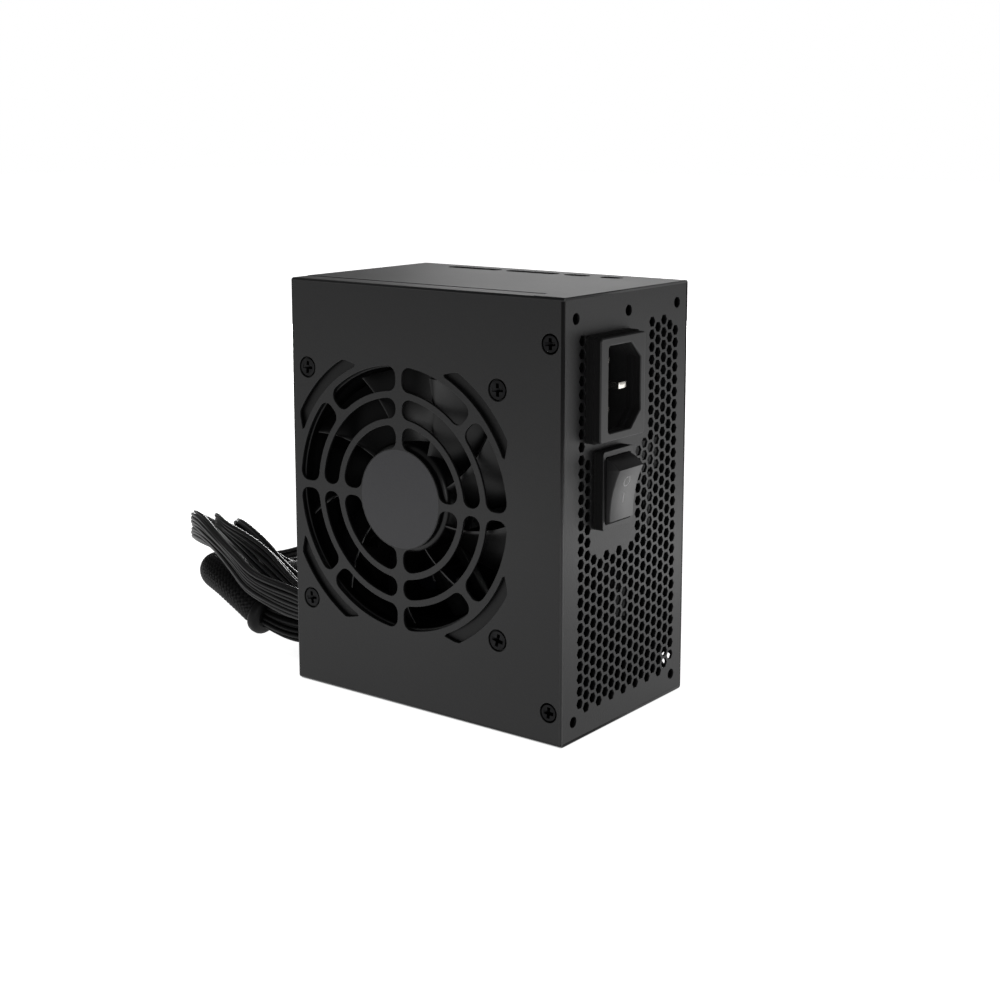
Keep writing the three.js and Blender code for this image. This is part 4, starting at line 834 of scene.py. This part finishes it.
def buildRotor():
    f = fanShape
    hub, front, back, wall, edge = f["hub"], f["hubFront"], f["hubBack"], f["wall"], f["round"]
    profile = np.vstack([(0.01, front), arc(hub - edge, front + edge, edge, -90, 0, 8), (hub, back), (hub - wall, back),
                         (hub - wall, front + wall), (0.01, front + wall)])
    parts = [turned(profile, "y", (fanPlace["x"], fanPlace["z"]), 96)] + [bladeSheet(k) for k in range(f["blades"])]
    addPiece("fanRotor", parts, fanPlastic, "fan_rotor", "fan", 50)


# The frame's depths are from its front
frameShape = {"front": -30.35, "depth": 14.4, "half": 40.0, "corner": 4.0, "flange": 3.4, "bore": 38.6, "wall": 1.6,
              "hole": 2.15, "boss": (3.9, 0.6), "motor": (16.6, 17.0, 12.9, 13.3), "tube": (3.09, 4.19, 3.9),
              "struts": (35, 125, 215, 305), "strut": (10, 39.4, 1.5, 11.9)}


def buildFanFrame():
    f = frameShape
    x, z, front, bore = fanPlace["x"], fanPlace["z"], f["front"], f["bore"]
    half, hole, back = f["half"], f["hole"], f["front"] + f["depth"]
    outline = centred(x, z, 2 * half, 2 * half, f["corner"])
    loops = [outline, circle(x, z, bore, 120)] + [circle(a, b, hole, 24) for a, b in fanHoles]
    inner, outer, motor, motorEdge = f["motor"]
    shaft, sleeve, sleeveFront = f["tube"]
    bossRadius, boss = f["boss"]
    parts = [plate(loops, "y", front, front + f["flange"], (0.3, 0.2)),
             plate(loops, "y", back - f["flange"], back, (0.2, 0.3)),
             turned([(bore, front + 0.3), (bore, back - 0.3)], "y", (x, z), 120),
             turned([(bore + f["wall"], front + 3.3), (bore + f["wall"], back - 3.3)], "y", (x, z), 120),
             turned([(0.01, front + motor), (inner, front + motor), (outer, front + motorEdge), (outer, back),
                     (0.01, back)], "y", (x, z), 64),
             turned([(shaft, front + sleeveFront), (sleeve, front + sleeveFront), (sleeve, front + motor)],
                    "y", (x, z), 40)]
    parts += [turned([(hole, front), (hole, front - boss), (bossRadius, front - boss), (bossRadius, front + 0.2)],
                     "y", place, 32) for place in fanHoles]
    near, far, side, strutFront = f["strut"]
    for a in np.radians(f["struts"]):
        turn = np.array([(math.cos(a), math.sin(a)), (-math.sin(a), math.cos(a))])
        corners = np.array([x, z]) + np.array([(near, -side), (far, -side), (far, side), (near, side)]) @ turn
        parts.append(plate([corners], "y", front + strutFront, back, (0.4, 0.2)))
    addPiece("fanFrame", parts, framePlastic, "fan_frame")


buildRotor()
buildFanFrame()
sayStage("fan")


# Mains inlet: two stepped collars, a socket with two cut corners, and the body behind the panel
inletShape = {"y": -9.55, "z": 98.85, "width": 23.0, "height": 29.7, "proud": 4.7, "step": 0.7, "corner": 1.0,
              "socket": (-16.9, -0.7, 86.8, 110.9), "round": 1.0, "cutY": 4.8, "cutZ": 4.6, "deep": 17.0, "back": 1.5,
              "body": (-18.65, 1.05, 85.05, 112.65)}
# Each pin: its middle and the place of its tip
pinShape = {"tail": 30.2, "width": 4.0, "height": 2.0, "nose": 0.6, "sides": 0.15}
pins = {"line": (-10.8, 105.85, 49.7), "neutral": (-10.8, 91.85, 49.7), "earth": (-6.8, 98.85, 52.7)}


def buildInlet():
    f, wall = inletShape, caseSize["halfWidth"]
    face, middle, step = wall + f["proud"], wall + f["proud"] / 2, f["step"]
    floor = face - f["deep"]
    y0, y1, z0, z1 = f["socket"]
    socket = np.vstack([arc(y0 + f["round"], z0 + f["round"], f["round"], 180, 270, 5),
                        [(y1 - f["cutY"], z0), (y1, z0 + f["cutZ"]), (y1, z1 - f["cutZ"]), (y1 - f["cutY"], z1)],
                        arc(y0 + f["round"], z1 - f["round"], f["round"], 90, 180, 5)])
    body = rectangle(*f["body"])
    outer = centred(f["y"], f["z"], f["width"], f["height"], f["corner"])
    inner = centred(f["y"], f["z"], f["width"] - step, f["height"] - step, f["corner"])
    parts = [plate([outer, socket], "x", wall, middle, square, square, 3),
             plate([inner, socket], "x", middle, face, (0, 0.35), (0, 0.4), 3),
             plate([body, socket], "x", floor, wall, square),
             plate([body], "x", floor - f["back"], floor, square)]
    addPiece("inletHousing", parts, inletPlastic, "inlet_housing")


def buildPin(name, y, z, tip):
    f = pinShape
    shape = bmesh.new()
    bmesh.ops.create_cube(shape, size=1.0)
    for vert in shape.verts:
        x = f["tail"] + (vert.co.x + 0.5) * (tip - f["tail"])
        vert.co = Vector((x, y + vert.co.y * f["width"], z + vert.co.z * f["height"]))
    nose = [edge for edge in shape.edges if all(v.co.x > tip - 0.01 for v in edge.verts)]
    bmesh.ops.bevel(shape, geom=nose, offset=f["nose"], segments=2, affect="EDGES", profile=0.6)
    sides = [edge for edge in shape.edges if abs(edge.verts[0].co.x - edge.verts[1].co.x) > 5]
    bmesh.ops.bevel(shape, geom=sides, offset=f["sides"], segments=2, affect="EDGES")
    shape.verts.index_update()
    points = [tuple(v.co) for v in shape.verts]
    faces = [tuple(v.index for v in face.verts) for face in shape.faces]
    shape.free()
    addPiece(name + "Pin", [(points, faces, [True] * len(faces))], nickel, name + "_pin", crispAbove=40)


buildInlet()
for name, facts in pins.items():
    buildPin(name, *facts)
sayStage("mains inlet")


# Rocker switch: a bezel and a rocker seen from the side as a hollow face between two edges with round ends
switchShape = {"y": -9.3, "z": 70.25, "bezel": (15.0, 22.3, 3.2), "body": (13.6, 20.8, 14.0), "back": 2.0,
               "width": 12.0, "gap": 0.3, "mouth": 19.7, "lip": 18.9, "lipDeep": 0.5, "round": 0.3, "radius": 9.7,
               "face": 52.3, "end": 34.0, "backRadius": 8.9, "backTurn": 30.0, "tail": (-5.5, 3.5), "sag": 0.9,
               "rest": -12.0, "pivot": 50.28, "axle": (1.2, 6.6)}
rockerEdge = switchShape["radius"] * np.array([math.cos(math.radians(switchShape["face"])),
                                               math.sin(math.radians(switchShape["face"]))])


def buildSwitchHousing():
    f, wall = switchShape, caseSize["halfWidth"]
    y, z, hole = f["y"], f["z"], f["width"] + 2 * f["gap"]
    wide, high, proud = f["bezel"]
    bezel, lip = centred(y, z, wide, high, 0.8), wall + proud - f["lipDeep"]
    wide, high, deep = f["body"]
    body, floor = centred(y, z, wide, high), wall - deep + f["back"]
    mouths = [centred(y, z, hole, f[opening], f["round"], 3) for opening in ("mouth", "lip")]
    parts = [plate([bezel, mouths[0]], "x", wall, lip, square),
             plate([bezel, mouths[1]], "x", lip, wall + proud, (0, 0.22), (0, 0.12), 3),
             plate([body, centred(y, z, hole, f["mouth"])], "x", floor, wall, square),
             plate([body], "x", wall - deep, floor, square, (0.3, 0))]
    addPiece("switchHousing", parts, switchPlastic, "rocker_housing")


# The hollow face is a parabola: it lies deepest in the middle, by the sag
def hollowFace(height):
    return rockerEdge[0] - switchShape["sag"] * (1 - (height / rockerEdge[1]) ** 2)


# From the rocker's own axes to the case's: turned to its rest about the pivot
def turnRocker(x, z):
    a = math.radians(switchShape["rest"])
    return np.stack([switchShape["pivot"] + x * math.cos(a) - z * math.sin(a),
                     switchShape["z"] + x * math.sin(a) + z * math.cos(a)], 1)


def buildRocker():
    f = switchShape
    y, half, r, back, end = f["y"], f["width"] / 2, f["radius"], f["backRadius"], f["face"] + f["end"]
    heights = rockerEdge[1] * np.linspace(-1, 1, 33)[1:-1]
    tailX, tailZ = f["tail"]
    outline = np.vstack([np.stack([hollowFace(heights), heights], 1), arc(0, 0, r, f["face"], end, 12),
                         arc(0, 0, back, end, end + f["backTurn"], 10), [(tailX, tailZ), (tailX, -tailZ)],
                         arc(0, 0, back, -end - f["backTurn"], -end, 10), arc(0, 0, r, -end, -f["face"], 12)])
    axle, reach = f["axle"]
    parts = [plate([turnRocker(*outline.T)], "y", y - half, y + half, (0.3, 0.3), None, 3),
             turned([(0.01, y - reach), (axle, y - reach), (axle, y + reach), (0.01, y + reach)], "y",
                    (f["pivot"], f["z"]), 32)]
    addPiece("switchRocker", parts, rockerPlastic, "rocker", "switch_rocker", 28)


# A printed ring on the upper half and a bar on the lower half lie just above the hollow face
markShape = {"ink": 0.012, "ring": ([1.26], [1.56]), "ringHeight": 3.35, "sides": 40, "bar": (-3.0, -0.1),
             "barHalf": 0.15, "rows": 8}


def buildRockerMarks():
    f = markShape

    def onFace(across, height):
        flat = turnRocker(hollowFace(height) + f["ink"], height)
        return np.stack([flat[:, 0], switchShape["y"] + across, flat[:, 1]], 1)

    angles, radii = 2 * math.pi * np.arange(f["sides"]) / f["sides"], np.array(f["ring"])
    ring = onFace((radii * np.cos(angles)).ravel(), f["ringHeight"] + (radii * np.sin(angles)).ravel())
    height, across = np.meshgrid(np.linspace(*f["bar"], f["rows"] + 1), (-f["barHalf"], f["barHalf"]), indexing="ij")
    parts = [(ring, gridFaces(2, f["sides"], closed=True)[:, backward].tolist(), [True] * f["sides"]),
             (onFace(across.ravel(), height.ravel()), gridFaces(f["rows"] + 1, 2).tolist(), [True] * f["rows"])]
    addPiece("rockerMarks", parts, markPrint, body="switch_rocker")


buildSwitchHousing()
buildRocker()
buildRockerMarks()
sayStage("rocker switch")


# Cable grommet: a sleeve through the wall with a round-edged rim outside, and a membrane round the wires
outletShape = {"y": -16.35, "z": 13.9, "width": 20.5, "height": 18.0, "corner": 4.0, "wall": 1.4, "lip": 1.6,
               "rim": 1.7, "sleeve": (-0.2, 1.2), "membrane": (0.7, 1.1), "membraneGrow": 0.3}


def buildGrommet():
    f, side = outletShape, -caseSize["halfWidth"]
    corner, wall, lip, grow = f["corner"], f["wall"], f["lip"], f["membraneGrow"]

    def outline(more, radius):
        return centred(f["y"], f["z"], f["width"] + 2 * more, f["height"] + 2 * more, radius, 8)

    hole = outline(0, corner - wall)
    parts = [plate([outline(wall + lip, corner + lip), hole], "x", side - f["rim"], side, (0.5, 0), (0.6, 0), 4),
             plate([outline(wall, corner), hole], "x", *(side + x for x in f["sleeve"]), (0, 0.3), (0, 0.3)),
             plate([outline(grow, corner - wall + grow)], "x", *(side + x for x in f["membrane"]), square)]
    addPiece("cableGrommet", parts, grommetNylon, "cable_grommet")


# Connectors: rows of square wells in a block with rounded edges, grooves between the columns, and a latch
# on a springy arm. A connector is drawn flat, in width, length and thickness, and then laid down or stood
# on its narrow side.
connectorShape = {"length": 20.0, "well": 0.76, "wellDepth": 9.0, "skirt": 1.2, "lift": 0.1, "gap": 0.3, "round": 0.45,
                  "corner": 0.8, "groove": 0.35, "terminal": (2.0, 1.4, 2.2, 9.2), "armHalf": 2.6,
                  "arm": ((1, 0.8), (1, 1.6), (3, 2.4), (3.6, 1.6), (15, 1.4), (15, -0.2), (12, -0.2), (12, 0.8))}
# Columns, rows, pitch, whether it has a latch, and whether it lies flat
connectorKinds = {"atx": (12, 2, 4.2, True, True), "cpu": (4, 2, 4.2, True, False), "pcie": (4, 2, 4.2, True, False),
                  "drive": (4, 1, 5.08, False, False)}


def buildConnector(name, columns, rows, pitch, latch, flat):
    f, cable = connectorShape, cables[name]
    deep, length, groove, edge = f["wellDepth"], f["length"], f["groove"], f["round"]
    wide, thick, well = columns * pitch + f["skirt"], rows * pitch + f["skirt"], f["well"] * pitch
    corner = np.array([cableLoop["x"] + cable["straight"] + cable["lane"], cable["end"] - f["gap"] - length, f["lift"]])
    centres = [((i - (columns - 1) / 2) * pitch, thick / 2 + (j - (rows - 1) / 2) * pitch)
               for i in range(columns) for j in range(rows)]
    outline = centred(0, thick / 2, wide, thick, f["corner"], 5)
    wells = [centred(a, b, well, well, 0.5, 3) for a, b in centres]
    parts = [plate([outline] + wells, "y", 0, deep, (0.2, 0), (edge, 0), 3),
             plate([outline], "y", deep, length, square, (0, edge), 3)]
    parts += [plate([rectangle(a - groove, a + groove, deep + 2, length - 2)], "z", thick - 0.05, thick + 0.12,
                    square, (0, 0.1)) for a in (np.arange(1, columns) - columns / 2) * pitch]
    if latch:
        arm = np.array(f["arm"]) + (0, thick)
        parts.append(plate([arm], "x", -f["armHalf"], f["armHalf"], square, (0.2, 0.2)))
    outer, inner, start, end = f["terminal"]
    terminals = [plate([centred(a, b, outer, outer), centred(a, b, inner, inner)], "y", start, end, (0.1, 0), (0.15, 0))
                 for a, b in centres]

    def stand(parts):
        points, faces, smooth = joinMeshes(parts)
        if not flat:
            points = np.stack([thick / 2 - points[:, 2], points[:, 1], points[:, 0] + wide / 2], 1)
        return [(points + corner, faces, smooth)]

    addPiece(name + "Connector", stand(parts), connectorNylon, name + "_connector")
    addPiece(name + "Terminals", stand(terminals), tinPlate)


buildGrommet()
for name, facts in connectorKinds.items():
    buildConnector(name, *facts)
sayStage("grommet and connectors")


# Floor, backdrop and lights. The glow is how bright the floor looks, from under the unit to the open floor: a painted
# shadow, dark where ambient occlusion finds the unit close by and white on the open floor.
# Rays from the camera and through clear pieces see the floor and the surround white. Mirrored rays see less.
stage = {"size": 8, "below": -0.0002, "colour": 0.85, "roughness": 0.7, "reach": 0.08, "mirrored": 0.75, "fill": 0.15,
         "glow": ((0.0, 0.0), (0.3, 0.88), (0.55, 0.97), (0.9, 1.0))}


def clearRays(tree, rays):
    return addNode(tree, "ShaderNodeMath", (-150, 400), _0=rays.outputs["Is Camera Ray"],
                   _1=rays.outputs["Is Transmission Ray"]).outputs[0]


def makeFloor():
    bpy.ops.mesh.primitive_plane_add(size=stage["size"], location=(0, 0, stage["below"]))
    floor = bpy.context.object
    floor.name = "floor"
    material = bpy.data.materials.new("white studio floor")
    material.use_nodes = True
    tree = material.node_tree
    shader = tree.nodes["Principled BSDF"]
    shader.inputs["Base Color"].default_value = (*[stage["colour"]] * 3, 1)
    shader.inputs["Roughness"].default_value = stage["roughness"]
    # Painted shadow: ambient occlusion darkens the floor's glow under and beside the unit
    openness = addNode(tree, "ShaderNodeAmbientOcclusion", (-500, -300), Distance=stage["reach"])
    level = addNode(tree, "ShaderNodeValToRGB", (-300, -300), Fac=openness.outputs["AO"])
    stops = level.color_ramp.elements
    middle = [stops.new(position) for position, value in stage["glow"][1:-1]]
    for element, (position, value) in zip([stops[0], *middle, stops[-1]], stage["glow"]):
        element.position, element.color = position, (value, value, value, 1)
    glow = addNode(tree, "ShaderNodeEmission", (0, -300), Color=level.outputs["Color"], Strength=1.0)
    both = addNode(tree, "ShaderNodeAddShader", (200, -200), _0=shader.outputs[0], _1=glow.outputs[0])
    rays = addNode(tree, "ShaderNodeLightPath", (-300, 300))
    mirrored = addNode(tree, "ShaderNodeMath", (-150, 200), "MULTIPLY", _0=rays.outputs["Is Glossy Ray"],
                       _1=stage["mirrored"])
    seen = addNode(tree, "ShaderNodeMath", (0, 300), _0=clearRays(tree, rays), _1=mirrored.outputs[0])
    mix = addNode(tree, "ShaderNodeMixShader", (400, 0), _0=seen.outputs[0], _1=shader.outputs[0], _2=both.outputs[0])
    tree.links.new(mix.outputs[0], tree.nodes["Material Output"].inputs["Surface"])
    floor.data.materials.append(material)


def makeSurround():
    world = bpy.data.worlds.new("studio")
    bpy.context.scene.world = world
    world.use_nodes = True
    tree = world.node_tree
    rays = addNode(tree, "ShaderNodeLightPath", (-600, 300))
    seen = addNode(tree, "ShaderNodeBackground", (-200, 200), Color=(1, 1, 1, 1), Strength=1.0)
    fill = addNode(tree, "ShaderNodeBackground", (-200, -100), Color=(1, 1, 1, 1), Strength=stage["fill"])
    clear = clearRays(tree, rays)
    mix = addNode(tree, "ShaderNodeMixShader", (100, 0), _0=clear, _1=fill.outputs[0], _2=seen.outputs[0])
    tree.links.new(mix.outputs[0], tree.nodes["World Output"].inputs["Surface"])


# Soft boxes: place and size in metres, power in watts. All point at the unit's middle.
lightAim = (0, 0, 0.06)
studioLights = {
    "backPanel": ((-0.65, 1.2, 0.45), (0.6, 0.6), 1.85),
    "backHigh": ((-0.9, 1.0, 0.95), (0.7, 0.5), 0.5),
    "backLow": ((-0.6, 0.7, 0.06), (0.5, 0.1), 2.8),
    "frontCard": ((0.9, -1.2, 0.25), (0.5, 0.3), 2.0),
    "rightStrip": ((0.3, 0.08, 0.055), (0.25, 0.06), 0.04),
    "rightCard": ((0.16, 0.14, 0.05), (0.1, 0.05), 0.016),
    "rightSpot": ((0.105, 0.09, 0.025), (0.05, 0.03), 0.01),
    "frontSpot": ((-0.07, -0.13, 0.02), (0.08, 0.03), 0.006),
}


def areaLight(name, place, size, power):
    data = bpy.data.lights.new(name, "AREA")
    data.shape = "RECTANGLE"
    data.size, data.size_y = size
    data.energy = power
    item = bpy.data.objects.new(name, data)
    item.location = place
    item.rotation_euler = (Vector(place) - Vector(lightAim)).to_track_quat("Z", "Y").to_euler()
    item.visible_camera = False
    bpy.context.scene.collection.objects.link(item)


makeFloor()
makeSurround()
for name, facts in studioLights.items():
    areaLight(name, *facts)
bpy.context.scene.view_settings.view_transform = "Standard"
sayStage("stage and lights")
